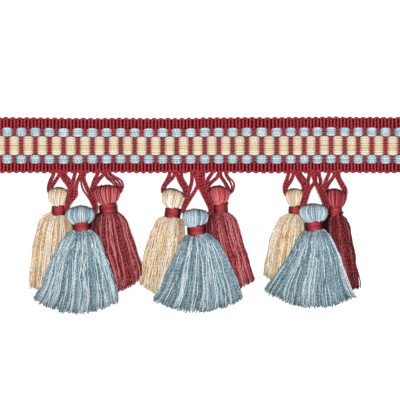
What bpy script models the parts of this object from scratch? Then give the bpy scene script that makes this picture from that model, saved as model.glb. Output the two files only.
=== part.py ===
# Tassel fringe trimming: a cut length of woven heading lying face up, with three groups of three tassels
# hung from it on cord loops. Sizes are in millimetres and turned to metres by MM.
# Origin at the centre of the heading's flat back, +X along the heading, +Y away from the tassels, +Z up.
import math
import random
from collections import namedtuple

import bmesh
import bpy
from mathutils import Vector
from mathutils.bvhtree import BVHTree

MM = 0.001
SEED = 11

# Heading
RIB_PITCH = 1.936
RIB_COUNT = 117
BLOCK_RIBS = 4
BLUE_BAR_RIB = 1
CREAM_BAR_RIB = 3
RIDGE_Z = 2.0
VALLEY_Z = 1.15
BLOCK_Z = 2.8
BLOCK_SIDE_Z = 1.75
SCALLOP_NOTCH = 0.75
SCALLOP_RIDGE = 0.18

# Rows of the heading from the top edge down: kind, distance from the middle line
HeadingRow = namedtuple("HeadingRow", "kind y")
HEADING_ROWS = [
    HeadingRow("edge_top", 14.85),
    HeadingRow("rib", 13.65),
    HeadingRow("seam", 9.35),
    HeadingRow("blue", 7.0),
    HeadingRow("seam", 4.55),
    HeadingRow("cream", 3.2),
    HeadingRow("cream", -3.9),
    HeadingRow("seam", -5.3),
    HeadingRow("blue", -7.6),
    HeadingRow("seam", -9.9),
    HeadingRow("rib", -13.65),
    HeadingRow("edge_low", -14.85),
]

# Tassel heads: yarn colour, top centre of the head, its width, height, half thickness and height
# off the floor of its axis, then the centre, width and height of the binding and of its axis
Head = namedtuple("Head", "name yarn x y width height half_thick z neck_x neck_y neck_width neck_height neck_z")
HEADS = [
    Head("cream_1", "cream", -78.2, -23.2, 11.3, 10.1, 4.6, 4.3, -77.9, -35.7, 7.2, 4.6, 4.3),
    Head("red_1", "red", -51.2, -21.8, 14.2, 10.5, 5.0, 4.7, -50.6, -34.8, 8.4, 4.7, 4.7),
    Head("blue_1", "blue", -65.6, -33.3, 15.4, 9.0, 5.6, 7.2, -65.5, -44.5, 9.5, 4.6, 7.0),
    Head("cream_2", "cream", -16.1, -24.0, 11.4, 10.4, 4.6, 4.3, -15.1, -37.4, 7.8, 4.6, 4.3),
    Head("red_2", "red", 10.0, -22.2, 12.4, 10.2, 4.6, 4.3, 10.5, -34.9, 7.3, 4.7, 4.3),
    Head("blue_2", "blue", -2.8, -35.2, 14.4, 9.4, 5.6, 6.2, -2.3, -47.1, 9.6, 4.6, 6.4),
    Head("cream_3", "cream", 50.6, -24.0, 10.2, 9.6, 4.4, 4.1, 50.5, -36.0, 6.4, 4.6, 4.1),
    Head("red_3", "red", 73.9, -24.0, 10.2, 9.7, 4.4, 4.1, 73.8, -36.3, 7.4, 4.8, 4.1),
    Head("blue_3", "blue", 62.0, -32.2, 14.2, 9.6, 5.6, 7.3, 62.1, -44.6, 9.6, 4.6, 7.0),
]

# Skirt levels from the neck down: the left and right ends of each cross-section in plan,
# how far its middle sags below the straight line, and its full thickness at the middle
Level = namedtuple("Level", "name left_x left_y right_x right_y sag thick")
LEVELS = [
    Level("cream_1", -88.0, -40.5, -74.1, -41.3, 0.0, 7.0),
    Level("cream_1", -92.1, -57.8, -73.2, -59.4, 0.5, 6.6),
    Level("cream_1", -93.9, -76.0, -76.3, -80.3, 1.7, 5.8),
    Level("red_1", -55.6, -40.7, -40.8, -41.5, 0.0, 7.4),
    Level("red_1", -55.9, -59.4, -35.4, -57.8, 0.5, 6.8),
    Level("red_1", -53.2, -82.0, -33.0, -74.3, 2.4, 6.0),
    Level("blue_1", -75.2, -52.3, -54.8, -52.3, 0.0, 8.0),
    Level("blue_1", -80.5, -62.2, -51.9, -62.2, 0.6, 7.4),
    Level("blue_1", -86.4, -76.5, -47.4, -76.5, 2.8, 6.8),
    Level("blue_1", -92.5, -85.0, -44.9, -86.1, 7.0, 6.2),
    Level("cream_2", -24.3, -42.4, -11.6, -44.0, 0.0, 7.0),
    Level("cream_2", -30.6, -57.8, -11.9, -61.1, 0.5, 6.6),
    Level("cream_2", -32.8, -76.0, -15.8, -82.5, 1.7, 5.8),
    Level("red_2", 6.0, -41.0, 19.2, -41.0, 0.0, 7.0),
    Level("red_2", 5.2, -58.9, 25.2, -58.9, 0.5, 6.6),
    Level("red_2", 8.5, -80.9, 29.1, -74.5, 1.7, 5.8),
    Level("blue_2", -10.5, -53.9, 9.3, -53.9, 0.0, 8.0),
    Level("blue_2", -15.5, -64.4, 15.0, -64.4, 0.6, 7.4),
    Level("blue_2", -21.8, -78.1, 21.4, -78.1, 2.8, 6.8),
    Level("blue_2", -26.5, -85.3, 23.0, -84.7, 7.2, 6.2),
    Level("cream_3", 43.4, -40.4, 52.7, -41.0, 0.0, 6.6),
    Level("cream_3", 37.3, -57.2, 53.0, -58.9, 0.5, 6.4),
    Level("cream_3", 35.1, -71.2, 51.3, -76.5, 1.2, 5.6),
    Level("red_3", 69.8, -41.8, 80.8, -41.8, 0.0, 6.6),
    Level("red_3", 66.7, -58.9, 84.1, -58.9, 0.5, 6.4),
    Level("red_3", 69.0, -80.9, 87.1, -78.4, 1.2, 5.6),
    Level("blue_3", 52.2, -52.8, 71.7, -52.8, 0.0, 8.0),
    Level("blue_3", 46.1, -63.2, 77.2, -62.4, 0.6, 7.4),
    Level("blue_3", 39.0, -73.2, 80.2, -74.3, 2.8, 6.8),
    Level("blue_3", 34.9, -80.0, 84.6, -83.6, 7.8, 6.2),
]

# Hanger loops: where each leg leaves the heading and a point that it passes on the way to the head
Loop = namedtuple("Loop", "tassel lane left_x left_mid_x left_mid_y right_x right_mid_x right_mid_y")
LOOPS = [
    Loop("cream_1", "under", -80.4, -83.0, -20.4, -73.5, -71.6, -20.4),
    Loop("cream_1", "over", -78.1, -81.0, -20.4, -75.9, -73.6, -20.4),
    Loop("red_1", "under", -56.2, -58.4, -20.4, -49.3, -44.6, -19.5),
    Loop("red_1", "over", -53.9, -56.3, -19.8, -51.6, -46.7, -20.1),
    Loop("blue_1", "under", -69.4, -68.6, -21.5, -62.0, -61.5, -24.7),
    Loop("blue_1", "over", -66.6, -66.4, -22.5, -64.3, -63.6, -24.7),
    Loop("cream_2", "under", -16.9, -20.1, -20.4, -10.5, -8.9, -20.4),
    Loop("cream_2", "over", -14.6, -18.2, -20.6, -12.4, -10.9, -20.9),
    Loop("red_2", "under", 6.8, 4.9, -20.4, 13.9, 17.2, -20.1),
    Loop("red_2", "over", 8.9, 6.9, -19.9, 11.2, 15.2, -20.6),
    Loop("blue_2", "under", -5.0, -5.8, -22.0, 1.6, 0.9, -24.7),
    Loop("blue_2", "over", -2.7, -3.8, -22.5, -0.5, -1.2, -24.2),
    Loop("cream_3", "under", 48.9, 46.1, -20.4, 55.2, 57.3, -21.5),
    Loop("cream_3", "over", 50.9, 48.1, -20.6, 53.1, 55.3, -21.5),
    Loop("red_3", "under", 70.6, 68.7, -20.1, 76.7, 79.0, -20.9),
    Loop("red_3", "over", 72.6, 70.7, -20.1, 74.7, 77.0, -20.9),
    Loop("blue_3", "under", 58.3, 59.3, -24.7, 66.2, 65.7, -24.2),
    Loop("blue_3", "over", 60.6, 61.2, -23.6, 63.8, 63.6, -23.6),
]

STRANDS_ACROSS = {"cream": 8, "red": 8, "blue": 12}
EDGE_THIN = 0.64
ROW_GAP = 0.09
SIDE_GAP = 0.10
ROOT_SHRINK = 0.80
HEM_JITTER = 0.7
SIDE_JITTER = 0.12
YARN_RIDGE = 0.16
TOP_DROP = 0.07

# Head outline from the neck up to the fold: share of the height, of the half width and of the thickness
HeadPoint = namedtuple("HeadPoint", "down width thick")
SQUARE_HEAD = [
    HeadPoint(0.74, 0.92, 0.94),
    HeadPoint(0.40, 1.00, 1.00),
    HeadPoint(0.11, 0.90, 0.72),
    HeadPoint(0.00, 0.76, 0.00),
]
ROUND_HEAD = [
    HeadPoint(0.80, 0.86, 0.90),
    HeadPoint(0.52, 1.00, 1.00),
    HeadPoint(0.15, 0.80, 0.74),
    HeadPoint(0.00, 0.60, 0.00),
]
HEAD_SHAPES = {"cream": SQUARE_HEAD, "red": SQUARE_HEAD, "blue": ROUND_HEAD}

# Turns of a loop beside the mouth of its tunnel: how far out from the mouth, and how far up from it
Turn = namedtuple("Turn", "out up")
LOOP_TURNS = [Turn(0.6, 2.4), Turn(1.02, 0.85), Turn(0.4, 0.0)]
TUNNEL_DOWN = {"cream": 2.9, "red": 2.9, "blue": 2.6}

CLEAR = 0.3
REST_CLEAR = 0.5
STEP_LIMIT = 2.2
BINDING_WALL = 0.5
BINDING_SIDES = 12
BINDING_BULGE = 0.12
CORD_HALF_WIDTH = 0.80
CORD_HALF_HEIGHT = 0.45
LANE_RISE = 0.85
HEADING_END_Y = -15.45

YARN_COLOURS = {
    "cream": (0.72, 0.56, 0.36),
    "red": (0.36, 0.04, 0.06),
    "blue": (0.24, 0.38, 0.45),
    "binding": (0.30, 0.02, 0.04),
    "cord": (0.26, 0.03, 0.05),
    "heading": (0.40, 0.10, 0.11),
}


def make_material(name):
    material = bpy.data.materials.new(name)
    material.use_nodes = True
    shader = material.node_tree.nodes["Principled BSDF"]
    shader.inputs["Base Color"].default_value = (*YARN_COLOURS[name], 1.0)
    shader.inputs["Roughness"].default_value = 0.8
    return material


def add_object(name, bm, material):
    bmesh.ops.recalc_face_normals(bm, faces=bm.faces)
    tree = BVHTree.FromBMesh(bm)
    mesh = bpy.data.meshes.new(name)
    for vert in bm.verts:
        vert.co *= MM
    bm.to_mesh(mesh)
    bm.free()
    mesh.materials.append(material)
    bpy.context.scene.collection.objects.link(bpy.data.objects.new(name, mesh))
    return tree


# Heading: one grid of points, two columns a rib, over a flat back
def block_height(kind, column):
    bar = {"blue": BLUE_BAR_RIB, "cream": CREAM_BAR_RIB}[kind]
    step = (column - 1 - 2 * bar) % (2 * BLOCK_RIBS)
    if step == 0:
        return RIDGE_Z
    inward = min(step, 2 * BLOCK_RIBS - step) - 1
    return BLOCK_SIDE_Z + (BLOCK_Z - BLOCK_SIDE_Z) * math.sqrt(min(inward, 2) / 2)


def heading_point(row, column):
    x = (column - RIB_COUNT) * RIB_PITCH / 2
    ridge = column % 2 == 1
    if row.kind in ("edge_top", "edge_low"):
        shift = 0 if row.kind == "edge_top" else 2
        notch = {0: SCALLOP_NOTCH, 1: SCALLOP_RIDGE, 2: 0.0, 3: SCALLOP_RIDGE}[(column + shift) % 4]
        return x, row.y - math.copysign(notch, row.y), 0.0
    if row.kind == "rib":
        return x, row.y, RIDGE_Z if ridge else VALLEY_Z
    if row.kind == "seam":
        return x, row.y, RIDGE_Z - 0.2 if ridge else VALLEY_Z
    return x, row.y, block_height(row.kind, column)


def build_heading():
    bm = bmesh.new()
    columns = 2 * RIB_COUNT + 1
    grid = [[bm.verts.new(heading_point(row, column)) for column in range(columns)] for row in HEADING_ROWS]
    for upper, lower in zip(grid, grid[1:]):
        for column in range(columns - 1):
            bm.faces.new((upper[column], lower[column], lower[column + 1], upper[column + 1]))
    for column in range(columns - 1):
        bm.faces.new((grid[0][column], grid[0][column + 1], grid[-1][column + 1], grid[-1][column]))
    bm.faces.new([row[0] for row in grid])
    bm.faces.new([row[-1] for row in reversed(grid)])
    return bm


# What lies under a point, from the pieces already built
def support(trees, x, y, reach):
    height = 0.0
    slant = reach * math.sqrt(0.5)
    around = [(0, 0), (reach, 0), (-reach, 0), (0, reach), (0, -reach)]
    around += [(slant, slant), (-slant, slant), (slant, -slant), (-slant, -slant)]
    for dx, dy in around:
        for tree in trees:
            hit = tree.ray_cast(Vector((x + dx, y + dy, 60.0)), Vector((0, 0, -1)))
            if hit[0] is not None:
                height = max(height, hit[0].z)
    return height


def support_along(trees, start, end, reach=0.5):
    steps = 14
    spots = [start.lerp(end, step / steps) for step in range(steps + 1)]
    return max(support(trees, spot.x, spot.y, reach) for spot in spots)


def thin(u):
    return math.sqrt(1 - EDGE_THIN * u * u)


# Frame of one tassel head: down its axis and across it, with its axis rising from the head to the neck
class Frame:
    def __init__(self, head):
        self.head = head
        self.shape = HEAD_SHAPES[head.yarn]
        self.tunnel = TUNNEL_DOWN[head.yarn]
        self.top = Vector((head.x, head.y))
        neck = Vector((head.neck_x, head.neck_y))
        self.down = (neck - self.top).normalized()
        self.across = Vector((-self.down.y, self.down.x))
        self.neck_mid = (neck - self.top).length
        self.neck_top = self.neck_mid - head.neck_height / 2 - CLEAR
        self.neck_bottom = self.neck_mid + head.neck_height / 2 + CLEAR
        outer = head.neck_width / 2
        self.ring_inner = outer - BINDING_WALL
        flat = math.cos(math.pi / BINDING_SIDES)
        self.neck_half = (flat * self.ring_inner - CLEAR) / math.hypot(1, thin(1))

    def axis_z(self, down):
        share = min(max(down / self.neck_top, 0), 1)
        return self.head.z + (self.head.neck_z - self.head.z) * share

    def at(self, across, down, z):
        spot = self.top + self.across * across + self.down * down
        return Vector((spot.x, spot.y, max(z, 0.0)))

    def end_half_width(self, down):
        share = down / self.head.height
        points = self.shape
        for low, high in zip(points, points[1:]):
            if share >= high.down:
                part = min((share - high.down) / (low.down - high.down), 1)
                return (high.width + (low.width - high.width) * part) * self.head.width / 2
        return points[-1].width * self.head.width / 2


# The yarns of a head run from the neck's front over the fold to the neck's back
def head_section(frame, u, ridge):
    head = frame.head
    side = frame.neck_half
    front = [(side * u, frame.neck_bottom, side * thin(u)), (side * u, frame.neck_top, side * thin(u))]
    for point in frame.shape:
        drop = TOP_DROP * head.height * u * u * (1 - point.down)
        thick = point.thick * head.half_thick * thin(u) + (ridge if point.thick else 0)
        down = point.down * head.height + drop - (ridge if not point.thick else 0)
        front.append((point.width * head.width / 2 * u, down, thick))
    back = [(across, down, -thick) for across, down, thick in reversed(front[:-1])]
    middle = [(side * u, frame.neck_bottom, 0.0)]
    return [frame.at(a, d, frame.axis_z(d) + t) for a, d, t in front + back + middle]


def tunnel_corners(frame, sign):
    half_down = CORD_HALF_WIDTH + CLEAR + 0.05
    half_z = LANE_RISE + CORD_HALF_HEIGHT + CLEAR + 0.02
    corners = []
    for down, z in ((-half_down, -half_z), (half_down, -half_z), (half_down, half_z), (-half_down, half_z)):
        deep = frame.tunnel + down
        corners.append(frame.at(sign * frame.end_half_width(deep), deep, frame.axis_z(frame.tunnel) + z))
    return corners


# Flat end of a head round the mouth of its tunnel
def close_head_end(bm, section, mouth):
    neck_front, shoulder, low, middle, high, fold, high_back, middle_back, low_back = section[:9]
    shoulder_back, neck_back, neck_middle = section[9:]
    up_back, down_back, down_front, up_front = mouth
    for corners in (
        (fold, high, up_front), (fold, up_front, up_back), (fold, up_back, high_back),
        (high, middle, up_front), (middle, down_front, up_front), (middle, low, down_front),
        (high_back, up_back, middle_back), (middle_back, up_back, down_back), (middle_back, down_back, low_back),
        (low, low_back, down_back, down_front), (low, shoulder, shoulder_back, low_back),
        (shoulder, neck_front, neck_middle, neck_back, shoulder_back),
    ):
        bm.faces.new(corners)


def level_line(level, u):
    left = Vector((level.left_x, level.left_y))
    right = Vector((level.right_x, level.right_y))
    line = right - left
    sag = Vector((line.y, -line.x)).normalized() * level.sag * (1 - u * u)
    return left + line * (u + 1) / 2 + sag


# Height of the underside of each strand at each level, clear of what it lies over
def strand_rests(levels, frame, trees, across):
    neck_width = 2 * frame.neck_half
    rests = []
    for index in range(across):
        us = [-1 + 2 * (index + part) / across for part in (0.1, 0.5, 0.9)]
        paths = []
        for u in us:
            root = frame.at(neck_width / 2 * u, frame.neck_bottom, 0)
            paths.append([root.to_2d()] + [level_line(level, u) for level in levels])
        spans = [max(support_along(trees, path[k], path[k + 1]) for path in paths) for k in range(len(levels))]
        spans.append(spans[-1])
        rests.append([max(spans[k], spans[k + 1]) for k in range(len(levels))])
    rests = [[rest + REST_CLEAR if rest else 0.0 for rest in row] for row in rests]
    order = list(range(1, across)) + list(range(across - 2, -1, -1))
    for index in order:
        for near in (index - 1, index + 1):
            if 0 <= near < across:
                rests[index] = [max(a, b - STEP_LIMIT) for a, b in zip(rests[index], rests[near])]
    return rests


def add_strand(bm, corners, rings):
    centre = sum((vert.co for vert in corners), Vector()) / 4
    last = [bm.verts.new(centre + (vert.co - centre) * ROOT_SHRINK) for vert in corners]
    walls = [(corners, last)]
    for ring in rings:
        verts = [bm.verts.new(point) for point in ring]
        walls.append((last, verts))
        last = verts
    for upper, lower in walls:
        for k in range(4):
            n = (k + 1) % 4
            bm.faces.new((upper[k], upper[n], lower[n], lower[k]))
    bm.faces.new(last)


def build_tassel(head, trees):
    frame = Frame(head)
    levels = [level for level in LEVELS if level.name == head.name]
    across = STRANDS_ACROSS[head.yarn]
    rng = random.Random(f"{SEED} {head.name}")
    bm = bmesh.new()
    sections = []
    for index in range(across + 1):
        u = -1 + 2 * index / across
        ridge = YARN_RIDGE if index % 2 else -YARN_RIDGE
        sections.append([bm.verts.new(point) for point in head_section(frame, u, ridge)])
    outline = len(sections[0]) - 1
    for near, far in zip(sections, sections[1:]):
        for k in range(outline - 1):
            bm.faces.new((near[k], near[k + 1], far[k + 1], far[k]))
    mouths = [[bm.verts.new(point) for point in tunnel_corners(frame, sign)] for sign in (-1, 1)]
    for k in range(4):
        n = (k + 1) % 4
        bm.faces.new((mouths[0][k], mouths[0][n], mouths[1][n], mouths[1][k]))
    for section, mouth in zip((sections[0], sections[-1]), mouths):
        close_head_end(bm, section, mouth)
    rests = strand_rests(levels, frame, trees, across)
    for index in range(across):
        near, far = sections[index], sections[index + 1]
        cells = {
            "low": [near[outline], far[outline], far[outline - 1], near[outline - 1]],
            "high": [near[0], far[0], far[outline], near[outline]],
        }
        for row, corners in cells.items():
            shares = (0.5 + ROW_GAP / 2, 1.0) if row == "high" else (0.0, 0.5 - ROW_GAP / 2)
            rings = []
            for number, level in enumerate(levels):
                last = number == len(levels) - 1
                slide = rng.uniform(-SIDE_JITTER, SIDE_JITTER) if number else 0.0
                longer = rng.uniform(-HEM_JITTER, HEM_JITTER) if last else 0.0
                u_ends = [-1 + 2 * (index + part + slide * SIDE_GAP) / across
                          for part in (SIDE_GAP, 1 - SIDE_GAP)]
                middle = -1 + 2 * (index + 0.5) / across
                ring = []
                for u, share in zip((u_ends[0], u_ends[1], u_ends[1], u_ends[0]), (1, 1, 0, 0)):
                    flat = level_line(level, u) + frame.down * longer
                    rise = rests[index][number] + level.thick * thin(middle) * shares[share]
                    ring.append(Vector((flat.x, flat.y, rise)))
                rings.append(ring)
            add_strand(bm, corners, rings)
    return bm


# Binding: a wound band round the neck
def build_binding(head):
    frame = Frame(head)
    outer = head.neck_width / 2
    half = head.neck_height / 2
    profile = [
        (frame.ring_inner, -half),
        (outer - BINDING_BULGE, -half),
        (outer, 0.0),
        (outer - BINDING_BULGE, half),
        (frame.ring_inner, half),
    ]
    bm = bmesh.new()
    rings = []
    for side in range(BINDING_SIDES):
        angle = 2 * math.pi * side / BINDING_SIDES
        ring = []
        for radius, down in profile:
            deep = frame.neck_mid + down
            point = frame.at(radius * math.cos(angle), deep, head.neck_z + radius * math.sin(angle))
            ring.append(bm.verts.new(point))
        rings.append(ring)
    for near, far in zip(rings, rings[1:] + rings[:1]):
        for k in range(len(profile)):
            n = (k + 1) % len(profile)
            bm.faces.new((near[k], near[n], far[n], far[k]))
    return bm


# Hanger loop: a flat pair of cords from the heading, through the fold of the head and back
def leg_points(loop, sign, frame):
    start_x, mid_x, mid_y = loop[2:5] if sign < 0 else loop[5:8]
    half = frame.end_half_width(frame.tunnel)
    turns = [frame.at(sign * (half + turn.out), frame.tunnel - turn.up, 0.0) for turn in LOOP_TURNS]
    return [Vector((start_x, HEADING_END_Y, 0.0)), Vector((mid_x, mid_y, 0.0))] + turns


def loop_path(loop, trees):
    frame = Frame(next(head for head in HEADS if head.name == loop.tassel))
    pair = [other for other in LOOPS if other.tassel == loop.tassel]
    reach = CORD_HALF_WIDTH + CLEAR
    lane = LANE_RISE if loop.lane == "over" else -LANE_RISE
    over = LANE_RISE + lane
    level = frame.axis_z(frame.tunnel)
    legs = []
    for sign in (-1, 1):
        flats = [[point.to_2d() for point in leg_points(other, sign, frame)] for other in pair]
        upper = max(support_along(trees, flat[0], flat[1], reach) for flat in flats)
        lower = max(support_along(trees, flat[1], flat[2], reach) for flat in flats)
        leg = leg_points(loop, sign, frame)
        rests = [0.0, max(upper, lower), lower]
        leg[0].z = CORD_HALF_HEIGHT + 0.05
        for index in (1, 2):
            rest = rests[index] + REST_CLEAR if rests[index] else 0.05
            leg[index].z = rest + CORD_HALF_HEIGHT + over
        leg[2].z = max(leg[2].z, level + lane)
        for turn in leg[3:]:
            turn.z = level + lane
        legs.append(leg)
    return legs[0] + legs[1][::-1]


def build_loop(loop, trees):
    path = loop_path(loop, trees)
    bm = bmesh.new()
    outline = []
    for k in range(6):
        angle = math.pi * k / 3
        outline.append((CORD_HALF_WIDTH * math.cos(angle), CORD_HALF_HEIGHT * math.sin(angle) / math.sin(math.pi / 3)))
    rings = []
    for index, point in enumerate(path):
        before = (point - path[index - 1]).normalized() if index else None
        after = (path[index + 1] - point).normalized() if index + 1 < len(path) else None
        tangent = ((before or after) + (after or before)).normalized()
        side = tangent.cross(Vector((0, 0, 1))).normalized()
        rise = side.cross(tangent)
        stretch = 1.0
        if before and after:
            flat_before = before.to_2d().normalized()
            flat_after = after.to_2d().normalized()
            stretch = 1 / math.sqrt((1 + flat_before.dot(flat_after)) / 2)
        rings.append([bm.verts.new(point + side * across * stretch + rise * up) for across, up in outline])
    for near, far in zip(rings, rings[1:]):
        for k in range(6):
            n = (k + 1) % 6
            bm.faces.new((near[k], near[n], far[n], far[k]))
    bm.faces.new(rings[0])
    bm.faces.new(rings[-1])
    return bm


for existing in list(bpy.data.objects):
    bpy.data.objects.remove(existing, do_unlink=True)

materials = {name: make_material(name) for name in YARN_COLOURS}
trees = [add_object("heading", build_heading(), materials["heading"])]
for front in (False, True):
    heads = [head for head in HEADS if (head.yarn == "blue") == front]
    names = [head.name for head in heads]
    below = list(trees)
    for head in heads:
        trees.append(add_object(f"tassel_{head.name}", build_tassel(head, below), materials[head.yarn]))
        trees.append(add_object(f"binding_{head.name}", build_binding(head), materials["binding"]))
    for loop in LOOPS:
        if loop.tassel in names:
            bm = build_loop(loop, below)
            trees.append(add_object(f"loop_{loop.lane}_{loop.tassel}", bm, materials["cord"]))
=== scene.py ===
# Tassel fringe trimming, face up on a pale floor: the yarns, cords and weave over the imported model.
# Sizes are in millimetres and turned to metres by mm. x runs along the heading, y away from the tassels.
import functools
import math
import random

import bpy
from mathutils import Matrix, Vector
from mathutils.bvhtree import BVHTree


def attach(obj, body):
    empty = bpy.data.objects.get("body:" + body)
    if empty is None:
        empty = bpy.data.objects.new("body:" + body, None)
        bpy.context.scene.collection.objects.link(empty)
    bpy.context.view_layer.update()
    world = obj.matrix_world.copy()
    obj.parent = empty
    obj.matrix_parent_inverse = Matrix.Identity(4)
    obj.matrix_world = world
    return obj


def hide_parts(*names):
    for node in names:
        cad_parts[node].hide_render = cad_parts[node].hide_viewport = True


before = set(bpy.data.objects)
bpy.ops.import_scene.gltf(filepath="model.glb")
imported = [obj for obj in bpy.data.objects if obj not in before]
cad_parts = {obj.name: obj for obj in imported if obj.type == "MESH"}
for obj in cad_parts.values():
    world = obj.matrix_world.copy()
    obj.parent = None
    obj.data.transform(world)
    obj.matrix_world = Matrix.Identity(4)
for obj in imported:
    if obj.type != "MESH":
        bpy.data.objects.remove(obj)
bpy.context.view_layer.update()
scene = bpy.context.scene
scene.view_settings.view_transform = "Standard"
mm = 0.001
lowest = 0.02 * mm  # nothing of the trimming comes nearer to the floor than this
print("frame loaded")


# small tools shared by every piece

maths, vectorMaths, mapRange = "ShaderNodeMath", "ShaderNodeVectorMath", "ShaderNodeMapRange"
storeNamed, readNamed = "GeometryNodeStoreNamedAttribute", "GeometryNodeInputNamedAttribute"
plus, minus, times, over, lesser, greater = (
    {"operation": word} for word in ("ADD", "SUBTRACT", "MULTIPLY", "DIVIDE", "MINIMUM", "MAXIMUM"))
smoothly = {"interpolation_type": "SMOOTHSTEP"}
perPoint = {"data_type": "FLOAT", "domain": "POINT"}


def linearColour(hexValue):
    channels = [int(hexValue[i:i + 2], 16) / 255 for i in (1, 3, 5)]
    return [c / 12.92 if c <= 0.04045 else ((c + 0.055) / 1.055) ** 2.4 for c in channels] + [1.0]


def addNode(tree, kind, settings=None, *inputs):  # inputs in order, or by name in a dictionary
    node = tree.nodes.new(kind)
    for key, value in (settings or {}).items():
        setattr(node, key, value)
    for place, given in enumerate(inputs):
        for key, value in (given if isinstance(given, dict) else {place: given}).items():
            if isinstance(value, bpy.types.Node):  # a node stands for its first output
                value = value.outputs[0]
            if isinstance(value, bpy.types.NodeSocket):
                tree.links.new(value, node.inputs[key])
            else:
                node.inputs[key].default_value = value
    return node


def newTree(name, **kinds):  # kinds holds the names of the inputs, kind by kind
    tree = bpy.data.node_groups.new(name, "GeometryNodeTree")
    tree.interface.new_socket("Geometry", in_out="INPUT", socket_type="NodeSocketGeometry")
    for kind, labels in kinds.items():
        for label in labels:
            tree.interface.new_socket(label, in_out="INPUT", socket_type="NodeSocket" + kind)
    tree.interface.new_socket("Geometry", in_out="OUTPUT", socket_type="NodeSocketGeometry")
    return tree, tree.nodes.new("NodeGroupInput").outputs


def newObject(name, data):
    made = bpy.data.objects.new(name, data)
    scene.collection.objects.link(made)
    return made


def growPiece(name, source, tree, values):  # runs a tree on a source object and keeps a plain mesh
    modifier = source.modifiers.new("grow", "NODES")
    modifier.node_group = tree
    for item in tree.interface.items_tree:
        if item.in_out == "INPUT" and item.name in values:  # the other inputs stay at 0
            modifier[item.identifier] = values[item.name]
    bpy.context.view_layer.update()
    evaluated = source.evaluated_get(bpy.context.evaluated_depsgraph_get())
    mesh = bpy.data.meshes.new_from_object(evaluated)
    bpy.data.objects.remove(source, do_unlink=True)
    for vertex in mesh.vertices:  # a yarn that would sink into the floor is pressed flat on it
        vertex.co.z = max(vertex.co.z, lowest)
    mesh.name = name
    return newObject(name, mesh)


def finishPiece(piece, slot, *nodes):
    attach(piece, "root")
    if nodes:
        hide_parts(*nodes)


def meshObject(name, points, faces):
    mesh = bpy.data.meshes.new(name)
    mesh.from_pydata([tuple(p) for p in points], [], faces)
    return newObject(name, mesh)


def routeObject(name, routes):  # one poly spline for each route of points in metres
    curve = bpy.data.curves.new(name, "CURVE")
    curve.dimensions = "3D"
    for route in routes:
        spline = curve.splines.new("POLY")
        spline.points.add(len(route) - 1)
        for point, place in zip(spline.points, route):
            point.co = (*place[:3], 1.0)
            point.radius = place[3] if len(place) > 3 else 1.0
    return newObject(name, curve)


def smoothPath(knots, share):  # Catmull-Rom through the knots, share runs from 0 to 1
    last = len(knots) - 1
    index = min(int(share * last), last - 1)
    t = share * last - index
    a, b, c, d = (Vector(knots[min(max(index + k, 0), last)]) for k in (-1, 0, 1, 2))
    if index == 0:
        a = 2 * b - c
    if index == last - 1:
        d = 2 * c - b
    return (2 * b + (c - a) * t + (2 * a - 5 * b + 4 * c - d) * t ** 2 + (3 * b - a - 3 * c + d) * t ** 3) / 2


def ease(value, start, end):
    share = min(max((value - start) / (end - start), 0.0), 1.0)
    return share * share * (3 - 2 * share)


# camera and light

view = {
    "pixel": 0.55,  # mm of the trimming for each pixel of the picture
    "pixelsWide": 400,
    "centreX": -0.35,
    "centreY": -30.25,
    "lens": 180.0,
    "sensor": 36.0,
    "floorColour": "#fdfdfd",
    "floorRoughness": 0.9,
    "floorHalf": 2000,
    "floorZ": -0.1,
    "roomStrength": 0.24,
    "keyPower": 96.0,
    "keySize": 500,
    "keyPlace": (-30, 20, 3000),  # straight above, so the trimming hides nearly all of its own shadow
}


def addCamera():
    data = bpy.data.cameras.new("camera")
    data.lens = view["lens"]
    data.sensor_width = view["sensor"]
    camera = newObject("camera", data)
    height = view["pixel"] * view["pixelsWide"] * view["lens"] / view["sensor"]
    camera.location = (view["centreX"] * mm, view["centreY"] * mm, height * mm)
    scene.camera = camera


def addLight():
    data = bpy.data.lights.new("key", "AREA")
    data.energy = view["keyPower"]
    data.size = view["keySize"] * mm
    lamp = newObject("key", data)
    lamp.location = Vector(view["keyPlace"]) * mm
    aim = Vector((0, view["centreY"] * mm, 0)) - lamp.location
    lamp.rotation_euler = aim.to_track_quat("-Z", "Y").to_euler()


def addFloor():
    material = bpy.data.materials.new("paperFloor")  # matt white paper, the picture's plain ground
    material.use_nodes = True
    shader = material.node_tree.nodes["Principled BSDF"]
    shader.inputs["Base Color"].default_value = linearColour(view["floorColour"])
    shader.inputs["Roughness"].default_value = view["floorRoughness"]
    half = view["floorHalf"] * mm
    corners = [(x * half, y * half, 0) for x, y in ((-1, -1), (1, -1), (1, 1), (-1, 1))]
    floor = meshObject("floor", corners, [(0, 1, 2, 3)])
    floor.data.transform(Matrix.Translation((0, 0, view["floorZ"] * mm)))
    floor.data.materials.append(material)


def addWorld():
    world = bpy.data.worlds.new("softRoom")
    world.use_nodes = True
    ground = world.node_tree.nodes["Background"]
    ground.inputs["Color"].default_value = (1, 1, 1, 1)
    ground.inputs["Strength"].default_value = view["roomStrength"]
    scene.world = world


addCamera()
addLight()
addFloor()
addWorld()
print("camera, light and floor placed")


# materials: spun cotton and rayon yarns, soft to the light, with their plies laid round them in slanting stripes

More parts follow.
